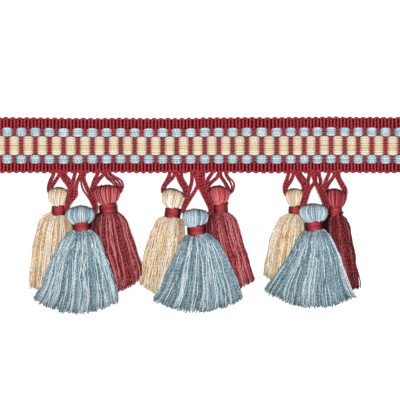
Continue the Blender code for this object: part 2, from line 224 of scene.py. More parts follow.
plyDetail = {
    "slipGrain": (420.0, 70.0, 0.0),   # how quickly the twist changes along a yarn, and from one to the next
    "driftAcross": 90.0,               # how much the shade's drift differs from yarn to yarn
    "plyEdge": 0.3,                    # how softly one ply passes into the next
    "grooveHalf": 0.45,
    "bumpDepth": 0.12,
    "sheenRoughness": 0.4,
    "shadeStops": (0.08, 0.40, 0.76, 0.88),
    "foldShadowSpread": (1.5, 0.7),            # how closely the painted fold shadow keeps to the fold, and how much it covers
}
usualFinish = {  # the loose yarns of the skirts; the others say what differs
    "groove": 0.62,        # how light the painted shade leaves the grooves between the plies
    "turns": 430,          # of the plies in a metre
    "slip": 9.0,           # how far the plies run ahead or behind, in radians
    "drift": (55.0, 0.3),  # how quickly and how far a yarn changes its shade along its way
    "bump": 0.8, "roughness": 0.6, "gloss": 0.15, "sheen": 0.05,
}
tightYarn = {"groove": 0.80, "turns": 620, "slip": 0.0, "drift": (55.0, 0.5), "bump": 0.4, "roughness": 0.55,
             "gloss": 0.2}
hardCord = {"drift": (55.0, 0.5), "gloss": 0.08, "sheen": 0.02}
warpYarn = {"turns": 640, "slip": 0.0, "drift": (200.0, 1.0), "roughness": 0.55, "sheen": 0.04}
yarnFinishes = {
    # marled skirt yarns: a dark and a pale ply, the range of shade from one yarn to the next, and how much of the
    # plies' own colours shows
    "creamYarn": {"plies": ("#c89a5a", "#fbf2e4"), "shades": ("#cf9a52", "#e2c496", "#efe0ca", "#f9f0e2"),
                  "marl": 0.33},
    "redYarn": {"plies": ("#5c121a", "#c86668"), "shades": ("#5e121a", "#9a2f36", "#b84c52", "#de8a8c"),
                "marl": 0.35, "groove": 0.60, "gloss": 0.08, "sheen": 0.0},
    "blueYarn": {"plies": ("#54737f", "#c8dae1"), "shades": ("#527280", "#87a8b4", "#a6c1cb", "#e6eff4"),
                 "marl": 0.33, "turns": 480},
    # the same yarns drawn tight over the heads; the pale ones have a painted shadow in their folds, tinted towards
    # crimson
    "creamHead": {**tightYarn, "plies": ("#c09456", "#fbf4ea"),
                  "shades": ("#c89c60", "#e2c8a0", "#f2e4ce", "#fffaf4"), "marl": 0.20, "foldShadowTint": "#b4704c"},
    "redHead": {**tightYarn, "plies": ("#64161e", "#be5659"),
                "shades": ("#741e26", "#ac343c", "#ce585c", "#e48e90"), "marl": 0.16, "gloss": 0.06, "sheen": 0.0},
    "blueHead": {**tightYarn, "plies": ("#5f7f8a", "#bccfd6"),
                 "shades": ("#5c7480", "#8eaab5", "#b6ccd5", "#edf5f8"), "marl": 0.20, "foldShadowTint": "#5c404a"},
    # hard twisted cords of one colour: their dark and pale plies are painted shade and painted highlight along the
    # twist, with painted shade in the grooves between their strands; the rib's shade follows y
    "crimsonCord": {**hardCord, "plies": ("#6e1420", "#da5862"),
                    "shades": ("#7c1c26", "#982a34", "#ae3640", "#c2444f"), "marl": 0.52, "groove": 0.46,
                    "turns": 520, "slip": 7.0, "bump": 0.6},
    "crimsonRib": {**hardCord, "plies": ("#8c2630", "#c8444e"), "marl": 0.42, "groove": 0.40, "turns": 500,
                   "slip": 0.0, "bump": 0.9,
                   "rowShades": ((-15.4, "#96303a"), (-14.3, "#a2343e"), (-13.4, "#b03a44"), (-10.4, "#b03a44"),
                                 (-9.7, "#8a2c32"), (9.1, "#8a2c32"), (9.8, "#b03a44"), (13.6, "#b03a44"),
                                 (14.5, "#a2343e"), (15.4, "#96303a"))},
    # lengthwise yarns of the heading, softly spun and shining a little; the cream ones run from ivory through
    # straw to white across their band
    "blueWarp": {**warpYarn, "plies": ("#6e94a3", "#dae8ee"),
                 "shades": ("#84a6b2", "#a6c3cd", "#bad3dc", "#dce9ef"), "marl": 0.38, "groove": 0.66},
    "creamWarp": {**warpYarn, "plies": ("#d2ac70", "#f9f3ea"), "marl": 0.24, "groove": 0.70,
                  "rowShades": ((-5.65, "#e4e0d8"), (-4.0, "#e6e2dc"), (-3.3, "#e4dccc"), (-2.5, "#e2ca9c"),
                                (-1.3, "#ead2aa"), (-0.5, "#e4c48a"), (0.3, "#ddceb4"), (0.9, "#e4dccf"),
                                (1.4, "#dfd1b6"), (1.9, "#e4dccf"), (2.6, "#e4d8c2"), (3.3, "#e4d9ca"),
                                (4.7, "#dac79e"))},
    # silky filament thread without a twist, drawn smooth, so it has the brightest edge of all
    "satinBinding": {"shades": ("#68101a", "#8a212b", "#9c2d37", "#b43e46"), "marl": 0.0, "groove": 0.80,
                     "turns": 0, "slip": 0.0, "drift": (64.0, 1.2), "bump": 0.0, "roughness": 0.42,
                     "gloss": 0.22, "sheen": 0.0},
}
groundFinish = {"dark": "#2e0408", "pale": "#4c0d14", "bandScale": 82.0,  # a thread each 1.9 mm
                "roughness": 0.9, "gloss": 0.05}


def yarnMaterial(name):
    finish = {**usualFinish, **yarnFinishes[name]}
    material = bpy.data.materials.new(name)
    material.use_nodes = True
    tree = material.node_tree
    add = functools.partial(addNode, tree)

    # where this is: round the yarn, along it, on which yarn, and how deep in the painted shade
    ring = add("ShaderNodeAttribute", {"attribute_name": "ring"}).outputs["Vector"]
    along, tone, dusk = (add("ShaderNodeAttribute", {"attribute_name": label}).outputs["Fac"]
                         for label in ("along", "tone", "dusk"))
    spot = add("ShaderNodeCombineXYZ", None, along, tone)
    driftScale, driftDepth = finish["drift"]
    slip, drift = (
        add("ShaderNodeTexNoise", None,
            {"Vector": add(vectorMaths, times, spot, grain), "Scale": 1.0, "Detail": detail})
        for grain, detail in ((plyDetail["slipGrain"], 0.0), ((driftScale, plyDetail["driftAcross"], 0.0), 1.0)))

    # the plies wind round the yarn
    angle = add(maths, plus, add(maths, times, along, math.tau * finish["turns"]),
                add(maths, times, slip, finish["slip"]))
    spiral = add("ShaderNodeCombineXYZ", None, add(maths, {"operation": "COSINE"}, angle),
                 add(maths, {"operation": "SINE"}, angle))
    side = add(vectorMaths, {"operation": "DOT_PRODUCT"}, ring, spiral).outputs["Value"]

    # the yarn's own shade drifts along its way, or follows its place across the heading
    if "rowShades" in finish:
        first, last = finish["rowShades"][0][0], finish["rowShades"][-1][0]
        stops = [((y - first) / (last - first), colour) for y, colour in finish["rowShades"]]
        height = add("ShaderNodeSeparateXYZ", None, add("ShaderNodeTexCoord").outputs["Object"]).outputs[1]
        share = add(mapRange, None, height, first * mm, last * mm)
    else:
        stops = list(zip(plyDetail["shadeStops"], finish["shades"]))
        share = add(maths, plus, tone, add(maths, times, add(maths, minus, drift, 0.5), driftDepth))
    body = add("ShaderNodeValToRGB", None, share)
    ramp = body.color_ramp.elements
    for element, (position, colour) in ((ramp[0], stops[0]), (ramp[1], stops[-1])):
        element.position = position
        element.color = linearColour(colour)
    for position, colour in stops[1:-1]:
        ramp.new(position).color = linearColour(colour)
    mixed = {"data_type": "RGBA"}
    if finish["marl"]:
        darkPly, palePly = (linearColour(colour) for colour in finish["plies"])
        ply = add(mapRange, None, side, -plyDetail["plyEdge"], plyDetail["plyEdge"])
        plies = add("ShaderNodeMix", mixed, {0: ply, 6: darkPly, 7: palePly}).outputs[2]
        body = add("ShaderNodeMix", mixed, {0: finish["marl"], 6: body, 7: plies}).outputs[2]
    # painted shadow in the folds, tinted, as deep as the painted shade held in dusk
    if "foldShadowTint" in finish:
        power, cover = plyDetail["foldShadowSpread"]
        close = add(maths, times, add(maths, {"operation": "POWER"}, dusk, power), cover)
        body = add("ShaderNodeMix", mixed, {0: close, 6: body, 7: linearColour(finish["foldShadowTint"])}).outputs[2]

    # painted shade: darker in the grooves between the plies, and darker by the painted shade held in dusk
    depth = add(maths, {"operation": "ABSOLUTE"}, side)
    crest = add(mapRange, None, depth, 0.0, plyDetail["grooveHalf"])
    light = add(maths, times, add(mapRange, None, crest, 0.0, 1.0, finish["groove"]), add(maths, minus, 1.0, dusk))
    dulled = add(vectorMaths, {"operation": "SCALE"}, {0: body, "Scale": light})
    shader = tree.nodes["Principled BSDF"]
    tree.links.new(dulled.outputs[0], shader.inputs["Base Color"])
    if finish["bump"]:
        bump = add("ShaderNodeBump", None, {"Height": crest, "Distance": plyDetail["bumpDepth"] * mm,
                                            "Strength": finish["bump"]})
        tree.links.new(bump.outputs[0], shader.inputs["Normal"])
    shader.inputs["Roughness"].default_value = finish["roughness"]
    shader.inputs["Specular IOR Level"].default_value = finish["gloss"]
    shader.inputs["Sheen Weight"].default_value = finish["sheen"]
    shader.inputs["Sheen Roughness"].default_value = plyDetail["sheenRoughness"]
    return material


def groundMaterial():
    # plain woven crimson cotton, seen as the dark gaps between the ribs and as the flat back; its colour is painted
    # dark as the shade in those gaps
    material = bpy.data.materials.new("crimsonGround")
    material.use_nodes = True
    tree = material.node_tree
    place = addNode(tree, "ShaderNodeTexCoord").outputs["Object"]
    weave = addNode(tree, "ShaderNodeTexWave", None, {"Vector": place, "Scale": groundFinish["bandScale"]})
    dark, pale = linearColour(groundFinish["dark"]), linearColour(groundFinish["pale"])
    colour = addNode(tree, "ShaderNodeMix", {"data_type": "RGBA"}, {0: weave.outputs["Fac"], 6: dark, 7: pale})
    shader = tree.nodes["Principled BSDF"]
    tree.links.new(colour.outputs[2], shader.inputs["Base Color"])
    shader.inputs["Roughness"].default_value = groundFinish["roughness"]
    shader.inputs["Specular IOR Level"].default_value = groundFinish["gloss"]
    return material


materials = {name: yarnMaterial(name) for name in yarnFinishes}
materials["crimsonGround"] = groundMaterial()
print("materials mixed")


# the end of both trees: a round yarn along each line, with painted shade on its flanks, as real geometry with its
# material on

def sweepYarns(tree, given, lines, stout, steep, level):  # from level to steep the flanks take on painted shade
    add = functools.partial(addNode, tree)
    circle = add("GeometryNodeCurvePrimitiveCircle", None, {"Resolution": given["Sides"], "Radius": given["Radius"]})
    facing = add(vectorMaths, {"operation": "NORMALIZE"}, add("GeometryNodeInputPosition"))
    profile = add(storeNamed, {"data_type": "FLOAT_VECTOR", "domain": "POINT"},
                  {"Geometry": circle, "Name": "ring", "Value": facing})
    swept = add("GeometryNodeCurveToMesh", None,
                {"Curve": lines, "Profile Curve": profile, "Scale": stout, "Fill Caps": True})
    facingUp = add("ShaderNodeSeparateXYZ", None, add("GeometryNodeInputNormal")).outputs[2]
    upright = add(maths, {"operation": "ABSOLUTE"}, facingUp)
    crease = add(mapRange, smoothly, upright, steep, level, given["Crease Dusk"], 0.0)
    dusk = add("ShaderNodeMix", None, {0: crease, 2: add(readNamed, {"data_type": "FLOAT"}, "dusk"), 3: 1.0})
    creased = add(storeNamed, perPoint, {"Geometry": swept, "Name": "dusk", "Value": dusk})
    smooth = add("GeometryNodeSetShadeSmooth", None, creased)
    real = add("GeometryNodeRealizeInstances", None, smooth)
    painted = add("GeometryNodeSetMaterial", None, {"Geometry": real, "Material": given["Material"]})
    add("NodeGroupOutput", None, painted)
    return tree


# tree that sweeps a cord along each spline; the radius given to a route's points thickens or thins it

def cordTree():
    tree, given = newTree("twistedCord", Int=("Sides", "Seed"), Material=("Material",), Float=(
        "Radius", "Step", "Phase Spread", "Flank Dusk", "Flank Level", "Crease Dusk", "Crease Width", "Start Dusk",
        "End Dusk"))
    add = functools.partial(addNode, tree)
    lines = add("GeometryNodeResampleCurve", {"mode": "LENGTH"},
                {"Curve": given["Geometry"], "Length": given["Step"]})
    for label, salt in (("tone", 0), ("phase", 7)):  # each cord has its own shade and starts its twist elsewhere
        luck = add("FunctionNodeRandomValue", {"data_type": "FLOAT"},
                   {2: 0.0, 3: 1.0, "Seed": add(maths, plus, given["Seed"], salt)})
        lines = add(storeNamed, {"data_type": "FLOAT", "domain": "CURVE"},
                    {"Geometry": lines, "Name": label, "Value": luck.outputs[1]})
    place = add("GeometryNodeSplineParameter").outputs
    late = add(maths, times, add(readNamed, {"data_type": "FLOAT"}, "phase"), given["Phase Spread"])
    along = add(maths, plus, place["Length"], late)
    # painted shade: darker where the cord lies low, towards its start and towards its end
    height = add("ShaderNodeSeparateXYZ", None, add("GeometryNodeInputPosition")).outputs[2]
    heights = add("GeometryNodeAttributeStatistic", None, {"Geometry": lines, "Attribute": height}).outputs
    climb = add(maths, times, add(maths, minus, heights["Max"], heights["Min"]), given["Flank Level"])
    flank = add(mapRange, smoothly, height, add(maths, plus, heights["Min"], climb), heights["Max"],
                given["Flank Dusk"], 0.0)
    begun = add(mapRange, smoothly, place["Factor"], 0.08, 0.34, given["Start Dusk"], 0.0)
    ended = add(mapRange, smoothly, place["Factor"], 0.36, 0.80, 0.0, given["End Dusk"])
    dusk = add(maths, plus, flank, add(maths, plus, begun, ended))
    for label, value in (("along", along), ("dusk", dusk)):
        lines = add(storeNamed, perPoint, {"Geometry": lines, "Name": label, "Value": value})
    return sweepYarns(tree, given, lines, add("GeometryNodeInputRadius"), 0.15, given["Crease Width"])


# tree that lays yarns between a guide surface and its inner copy, from one edge of its map to the other

def yarnBundleTree():
    tree, given = newTree("yarnBundle", Int=("Yarns Across", "Layers", "Steps", "Sides", "Seed"), Float=(
        "Radius", "Root Share", "Tip Share", "Wander", "Clump", "Length Spread", "Slot Spread", "Ripple",
        "Shade Grouping", "Shade Turns", "Shade Shift", "Fold Dusk", "Tip Dusk", "Root Dusk", "Side Dusk",
        "Dusk Side", "Base Dusk", "Crease Dusk", "Crown Fall"), Material=("Material",))
    add = functools.partial(addNode, tree)
    stepped = add("GeometryNodeResampleCurve", None,
                  {"Curve": add("GeometryNodeCurvePrimitiveLine"), "Count": given["Steps"]})
    amount = add(maths, times, given["Yarns Across"], given["Layers"])
    lines = add("GeometryNodeDuplicateElements", {"domain": "SPLINE"}, {"Geometry": stepped, "Amount": amount})
    number = lines.outputs["Duplicate Index"]
    place = add("GeometryNodeSplineParameter").outputs
    share = place["Factor"]

    # each yarn's own chances: to lie aside, to be sunk, to end short, to start its twist late, its shade and its
    # girth, to stray, and to have a dark tip
    chances = ((-0.5, 0.5), (0.0, 0.5), (0.0, 1.0), (0.0, 0.03), (-0.75, 0.75), (0.88, 1.12), (0.0, 1.0),
               (-0.6, 1.0))
    aside, sunk, short, late, ownShade, girth, strays, darkTip = (
        add("FunctionNodeRandomValue", {"data_type": "FLOAT"},
            {2: low, 3: high, "ID": number, "Seed": add(maths, plus, given["Seed"], salt)}).outputs[1]
        for salt, (low, high) in enumerate(chances, start=1))

    # its slot across the bundle, its layer, and how far along it a point is
    layer = add(maths, {"operation": "MODULO"}, number, given["Layers"])
    slot = add(maths, {"operation": "FLOOR"}, add(maths, over, number, given["Layers"]))
    half = add(maths, times, add(maths, {"operation": "MODULO"}, layer, 2.0), 0.5)
    aside = add(maths, plus, add(maths, times, aside, given["Slot Spread"]), 0.25)
    wide = add(maths, over, add(maths, plus, add(maths, plus, slot, half), aside), given["Yarns Across"])
    deep = add(maths, over, add(maths, plus, layer, sunk), given["Layers"])
    reach = add(maths, minus, 1.0, add(maths, times, short, given["Length Spread"]))
    travel = add(maths, times, share, reach)

    # noises: what each one follows, how quickly it changes, and its detail
    lock, sway, ripple, group = (
        add("ShaderNodeTexNoise", None,
            {"Vector": add(vectorMaths, times, add("ShaderNodeCombineXYZ", None, *follows, given["Seed"]), grain),
             "Scale": 1.0, "Detail": detail})
        for follows, grain, detail in (
            ((wide, travel), (9.0, 1.2, 1.0), 1.0), ((travel, number), (3.0, 3.7, 1.0), 1.0),
            ((travel, number), (9.0, 5.3, 1.0), 0.0), ((wide, deep), (24.0, 1.5, 3.1), 1.0)))

    # the yarns gather into locks towards the hem, and lie between the guide and its inner copy
    gather = add(maths, times, add(maths, times, add(maths, minus, lock, 0.5), given["Clump"]), travel)
    spot = add("ShaderNodeCombineXYZ", None, *(
        add(maths, lesser, add(maths, greater, value, rim), 1 - rim)
        for value, rim in ((add(maths, plus, wide, gather), 0.004), (travel, 0.002))))
    sources = (add("GeometryNodeInputPosition"), add(readNamed, {"data_type": "FLOAT_VECTOR"}, "inner"))
    yarnMap = add(readNamed, {"data_type": "FLOAT_VECTOR"}, "yarnMap")
    faces = [add("GeometryNodeSampleUVSurface", {"data_type": "FLOAT_VECTOR"},
                 {"Mesh": given["Geometry"], "Value": source, "UV Map": yarnMap, "Sample UV": spot})
             for source in sources]
    between = add("ShaderNodeMix", {"data_type": "VECTOR"}, {0: deep, 4: faces[0], 5: faces[1]}).outputs[1]

    # they sway more and more towards their ends, a few of them nearly twice as far, and ripple all along
    stray = add(maths, plus, 1.0, add(maths, times, add(maths, {"operation": "GREATER_THAN"}, strays, 0.95), 0.9))
    swaying = add(maths, times, add(maths, times, given["Wander"], stray), add(maths, plus, travel, 0.08))
    rippling = add(maths, times, given["Ripple"], add(maths, lesser, add(maths, times, travel, 4.0), 1.0))
    both = add(vectorMaths, plus, *(
        add(vectorMaths, {"operation": "SCALE"},
            {0: add(vectorMaths, minus, noise.outputs[1], (0.5, 0.5, 0.5)), "Scale": distance})
        for noise, distance in ((sway, swaying), (ripple, rippling))))
    moved = add(vectorMaths, plus, between, add(vectorMaths, times, both, (1.0, 1.0, 0.4)))
    parts = add("ShaderNodeSeparateXYZ", None, moved).outputs
    rested = add("ShaderNodeCombineXYZ", None, parts[0], parts[1], add(maths, greater, parts[2], given["Radius"]))
    lines = add("GeometryNodeSetPosition", None, {"Geometry": lines, "Position": rested})

    # shades run in groups, turn from yarn to yarn on the heads, and are each yarn's own for the rest
    shared = add(maths, times, add(maths, times, add(maths, minus, group, 0.5), 3.0), given["Shade Grouping"])
    room = add(maths, minus, add(maths, minus, 1.0, given["Shade Grouping"]),
               add(maths, times, given["Shade Turns"], 0.6))
    turn = add(maths, minus, add(maths, {"operation": "MODULO"}, add(maths, plus, slot, layer), 2.0), 0.5)
    turned = add(maths, plus, add(maths, times, turn, given["Shade Turns"]), given["Shade Shift"])
    shade = add(maths, plus, add(maths, plus, shared, add(maths, times, ownShade, room)),
                add(maths, plus, turned, 0.5))
    shade = add(maths, lesser, add(maths, greater, shade, 0.0), 1.0)

    # painted shade: in the fold of a head, whose far side is dark for less of its way, at the root, and beside the
    # tassel in front; the tips go darker too
    past = add(maths, minus, share, 0.5)
    crown = add(maths, greater, add(maths, times, past, -1.0), add(maths, times, past, 2.5))
    fold = add(maths, greater, add(mapRange, smoothly, crown, 0.07, 0.15, given["Fold Dusk"], 0.0),
               add(mapRange, smoothly, crown, 0.05, 0.26, add(maths, times, given["Fold Dusk"], 0.42), 0.0))
    tipDusk = add(maths, times, add(maths, greater, darkTip, 0.0), given["Tip Dusk"])
    tip = add(mapRange, smoothly, add(maths, minus, 1.0, share), 0.0, 0.10, tipDusk, 0.0)
    root = add(mapRange, smoothly, share, 0.06, 0.22, given["Root Dusk"], 0.0)
    toSide = add(maths, {"operation": "ABSOLUTE"}, add(maths, minus, wide, given["Dusk Side"]))
    beside = add(maths, times, add(mapRange, smoothly, toSide, 0.04, 0.34, given["Side Dusk"], 0.0),
                 add(mapRange, smoothly, share, 0.25, 0.85, 1.0, 0.0))
    # painted shade too: a head's yarns go darker towards its crown, and some skirts lie in shade all over
    shade = add(maths, minus, shade, add(mapRange, smoothly, crown, 0.05, 0.42, given["Crown Fall"], 0.0))
    dusk = given["Base Dusk"]
    for part in (fold, tip, root, beside):
        dusk = add(maths, plus, dusk, part)
    dusk = add(maths, lesser, dusk, 0.92)
    for label, value in (("along", add(maths, plus, place["Length"], late)), ("tone", shade), ("dusk", dusk)):
        lines = add(storeNamed, perPoint, {"Geometry": lines, "Name": label, "Value": value})
    rootEase = add(mapRange, smoothly, share, 0.0, 0.22, given["Root Share"], 1.0)
    tipEase = add(mapRange, smoothly, share, 1.0, 0.78, given["Tip Share"], 1.0)
    stout = add(maths, times, add(maths, times, rootEase, tipEase), girth)
    return sweepYarns(tree, given, lines, stout, 0.10, 0.85)


twistedCord = cordTree()
yarnBundle = yarnBundleTree()
print("trees built")


# heading: a thin ground cloth, one snaking weft cord over it, and yarns lying lengthwise through the cord

heading = {
    "ribPitch": 1.936,
    "ribs": 117,
    "length": 226.5,
    "topEdge": 15.40,
    "ribRadius": 0.56,
    "bandZ": 1.35,     # middle of the cord where it shows as a plain rib
    "barZ": 1.30,      # where it passes over the lengthwise yarns
    "hiddenZ": 0.95,   # where it passes beneath them
    "warpLow": 0.62,   # middle of a lengthwise yarn under a bar
    "warpRise": 1.62,  # and how much higher it is between two bars
    "warpStep": 0.44,
    "clothLow": 0.08,
    "clothThick": 0.7,
    "clothHalfWidth": 14.6,
    "bow": 0.36,       # the upper edge dips by this much a third of the way along
    "droop": 0.22,     # the lower edge hangs down by this much
    "waver": ((0.07, 9.1, 0), (0.05, 3.7, 1)),  # how far the strip wavers, how slowly, and from where
    "knob": 0.36,      # a bar swells by this share over each lengthwise yarn
    "turnStout": 1.32,     # the cord lies thicker and wider where it turns back at the edges
    "turnBulge": 0.17,
    # how far the ribs have slid along at each place
    "slides": ((-113.3, 0.4), (-87.3, 0.15), (-75.7, 0.2), (-60.9, 0.52), (-49.9, 0.72), (-38.9, 0.62),
               (-22.4, 0.45), (-9.7, 0.33), (1.8, 0.38), (17.2, 0.14), (27.1, 0.12), (33.7, 0.7),
               (40.9, 1.15), (46.4, 1.2), (52.4, 0.95), (60.1, 0.45), (71.1, 0.0), (82.1, -0.33),
               (90.9, -0.77), (98.6, -1.0), (107.0, -1.18), (113.3, -0.3)),
}
bands = {
    # upper and lower limit of each band of lengthwise yarns, how many yarns, and the rib that holds them down
    "upperBlue": {"high": 9.35, "low": 4.60, "yarns": 4, "barRib": 1, "barRadius": 1.08, "corner": 0.42,
                  "finish": "blueWarp", "sunkDusk": 0.50, "slot": "blue_yarn"},
    "cream": {"high": 4.75, "low": -5.65, "yarns": 8, "barRib": 3, "barRadius": 1.24, "corner": 0.50,
              "finish": "creamWarp", "sunkDusk": 0.34, "slot": "cream_yarn"},
    "lowerBlue": {"high": -5.55, "low": -10.20, "yarns": 4, "barRib": 1, "barRadius": 1.08, "corner": 0.42,
                  "finish": "blueWarp", "sunkDusk": 0.50, "slot": "blue_yarn"},
}


def ribX(index):
    return (index - (heading["ribs"] - 1) / 2) * heading["ribPitch"]


def ribHeight(index, y):  # the cord climbs over the yarns at its bars, where it spreads, and sinks elsewhere
    height, stout = heading["bandZ"], 1.0
    for band in bands.values():
        inside = ease(y, band["low"] - 0.3, band["low"] + 0.5) * ease(-y, -band["high"] - 0.3, -band["high"] + 0.5)
        goal = heading["barZ"] if index % 4 == band["barRib"] else heading["hiddenZ"]
        height += (goal - height) * inside
        if index % 4 == band["barRib"]:
            pitch = (band["high"] - band["low"]) / band["yarns"]
            turned = 0.9 if index % 8 > 3 else -0.9
            knob = 1 + heading["knob"] * math.cos(math.tau * (band["high"] - y) / pitch + turned)
            stout += (knob * band["barRadius"] / heading["ribRadius"] - 1) * inside
    return height, stout


def settle(x, y):  # the trimming lies a little slack: its upper edge dips and the whole strip wavers
    dip = heading["bow"] * (0.75 - 1.9 * math.exp(-((x + 38) / 62) ** 2))
    droop = heading["droop"] * ease(-y, 10.4, 14)
    waver = sum(most * math.sin(x / slow + start) for most, slow, start in heading["waver"])
    return y + dip * ease(y, -6, 14) - droop + waver


def slide(x):  # and its ribs are crowded in places and spread in others
    for (a, low), (b, high) in zip(heading["slides"], heading["slides"][1:]):
        if x < b or b == heading["slides"][-1][0]:
            return x + low + (high - low) * (x - a) / (b - a)


def weftRoute():
    wobble = random.Random(5)
    turnRadius = heading["ribPitch"] / 2
    reach = heading["topEdge"] - heading["ribRadius"] * heading["turnStout"] - turnRadius
    ribSteps, turnSteps = 60, 8
    route = []
    for index in range(heading["ribs"]):
        going = 1 if index % 2 == 0 else -1
        lean = wobble.uniform(-0.10, 0.10)
        for step in range(ribSteps + 1):
            y = going * (-reach + 2 * reach * step / ribSteps)
            x = ribX(index) + lean + 0.06 * math.sin(y * 0.9 + index * 2.3)
            route.append((x, y, *ribHeight(index, y)))
        if index < heading["ribs"] - 1:
            out = wobble.uniform(-0.08, 0.10)
            for step in range(1, turnSteps):
                angle = math.pi * step / turnSteps
                x = ribX(index) + turnRadius * (1 - math.cos(angle)) - heading["turnBulge"] * math.sin(2 * angle)
                y = going * (reach + (turnRadius + out) * math.sin(angle) ** 0.6)  # fuller than a half circle
                stout = 1 + (heading["turnStout"] - 1) * math.sin(angle)
                route.append((x, y, heading["bandZ"] - 0.25 * math.sin(angle), stout))
    return [(slide(x) * mm, settle(x, y) * mm, z * mm, stout) for x, y, z, stout in route]


def warpRoutes(band, seed):
    wobble = random.Random(seed)
    pitch = (band["high"] - band["low"]) / band["yarns"]
    middle = (band["high"] + band["low"]) / 2
    block = 4 * heading["ribPitch"]
    routes = []
    for yarn in range(band["yarns"]):
        rest = band["high"] - pitch * (yarn + 0.5)
        edge = abs(2 * yarn / (band["yarns"] - 1) - 1)  # 1 for the outer yarns of the band
        drift = [wobble.uniform(-0.07, 0.07) for _ in range(64)]
        lift = [wobble.uniform(-0.14, 0.08) for _ in range(64)]
        route = []
        count = int(heading["length"] / heading["warpStep"])
        for step in range(count + 1):
            x = -heading["length"] / 2 + heading["length"] * step / count
            place = (x - ribX(band["barRib"])) / block
            part = place - math.floor(place)
            near = abs(2 * part - 1)  # 1 at a bar, 0 at the middle of a block
            cell = int(math.floor(place)) % 64
            full = 1 - min(near * (1.13 + 0.09 * edge ** 2), 1) ** 3.0
            corner = math.copysign(band["corner"] * edge ** 3 * ease(near, 0.25, 0.85), rest - middle)
            y = settle(x, middle + (rest - middle) * (1 - 0.05 * near ** 2) - corner + drift[cell] * full)
            z = heading["warpLow"] + (heading["warpRise"] + lift[cell]) * full
            slim = 1 - 0.38 * ease(near, 0.30, 0.78)
            route.append((slide(x) * mm, y * mm, z * mm, slim))
        routes.append(route)
    return routes


def groundCloth():
    across, along = 20, 234
    half = heading["clothHalfWidth"]
    points = []
    for i in range(along + 1):
        for j in range(across + 1):
            x = -heading["length"] / 2 + heading["length"] * i / along
            y = -half + 2 * half * j / across
            z = heading["clothLow"] + heading["clothThick"] + 0.08 * math.cos(math.pi * i)
            points.append((x * mm, settle(x, y) * mm, z * mm))
    row = across + 1
    faces = [(i * row + j, (i + 1) * row + j, (i + 1) * row + j + 1, i * row + j + 1)
             for i in range(along) for j in range(across)]
    cloth = meshObject("headingCloth", points, faces)
    cloth.data.materials.append(materials["crimsonGround"])
    wall = cloth.modifiers.new("wall", "SOLIDIFY")
    wall.thickness = heading["clothThick"] * mm
    wall.offset = -1
    return cloth


cloth = groundCloth()
weft = growPiece("headingWeft", routeObject("weftLine", [weftRoute()]), twistedCord, {
    "Radius": heading["ribRadius"] * mm, "Step": 0.46 * mm, "Sides": 8, "Crease Width": 0.80, "Seed": 3,
    "Material": materials["crimsonRib"],
})
floats = []
for bandIndex, (bandName, band) in enumerate(bands.items()):
    pitch = (band["high"] - band["low"]) / band["yarns"]
    lines = routeObject(bandName, warpRoutes(band, 20 + bandIndex))
    # painted shade: each lengthwise yarn goes darker where it sinks under a bar, and a little on its flanks
    floats.append(growPiece("heading_" + bandName, lines, twistedCord, {
        "Radius": pitch * 0.55 * mm, "Step": 0.5 * mm, "Sides": 8, "Phase Spread": 30 * mm,
        "Flank Dusk": band["sunkDusk"], "Flank Level": 0.45, "Crease Dusk": 0.07, "Crease Width": 0.80,
        "Seed": 3 + bandIndex, "Material": materials[band["finish"]],
    }))
    finishPiece(floats[-1], band["slot"])
finishPiece(weft, "crimson_cord")
finishPiece(cloth, "heading_weave", "heading")
print("heading woven")


# tassels: heads, bindings and skirts, with the sizes read from the picture

tassels = {
    # head: axis height, half thickness and the crown's y; neck: binding centre, width, height, axis height;
    # hemSag: how round the hem is; knot: the thread's end; ripple: how wavy the skirt's yarns are, if not 1.7
    "cream_1": {"head": (4.3, 4.6, -23.0), "neck": (-77.7, -36.1, 8.3, 5.9, 4.3), "hemSag": 0.8},
    "red_1": {"head": (4.7, 5.0, -21.6), "neck": (-50.6, -34.9, 10.2, 5.7, 4.9), "hemSag": 2.5,
              "knot": (-45.3, -36.4)},
    "blue_1": {"head": (7.2, 5.6, -33.1), "neck": (-65.1, -44.6, 10.2, 5.3, 7.0), "hemSag": 7.4,
               "knot": (-61.6, -41.3), "ripple": 2.6},
    "cream_2": {"head": (4.3, 4.6, -23.8), "neck": (-15.3, -37.3, 9.0, 5.9, 4.3), "hemSag": 2.2},
    "red_2": {"head": (4.3, 4.6, -22.1), "neck": (10.9, -35.0, 8.2, 5.3, 4.3), "hemSag": 1.7,
              "knot": (14.9, -31.4)},
    "blue_2": {"head": (6.2, 5.6, -35.0), "neck": (-2.2, -47.0, 10.4, 5.5, 6.4), "hemSag": 7.4,
               "knot": (1.8, -43.4)},
    "cream_3": {"head": (4.1, 4.4, -23.8), "neck": (51.7, -36.1, 7.1, 5.6, 4.1), "hemSag": 0.8},
    "red_3": {"head": (4.1, 4.4, -23.9), "neck": (73.7, -36.4, 7.7, 5.5, 4.1), "hemSag": 1.1,
              "knot": (77.8, -36.7)},
    "blue_3": {"head": (7.3, 5.6, -32.1), "neck": (61.7, -44.6, 10.2, 5.4, 7.0), "hemSag": 8.1,
               "knot": (66.2, -41.6)},
}
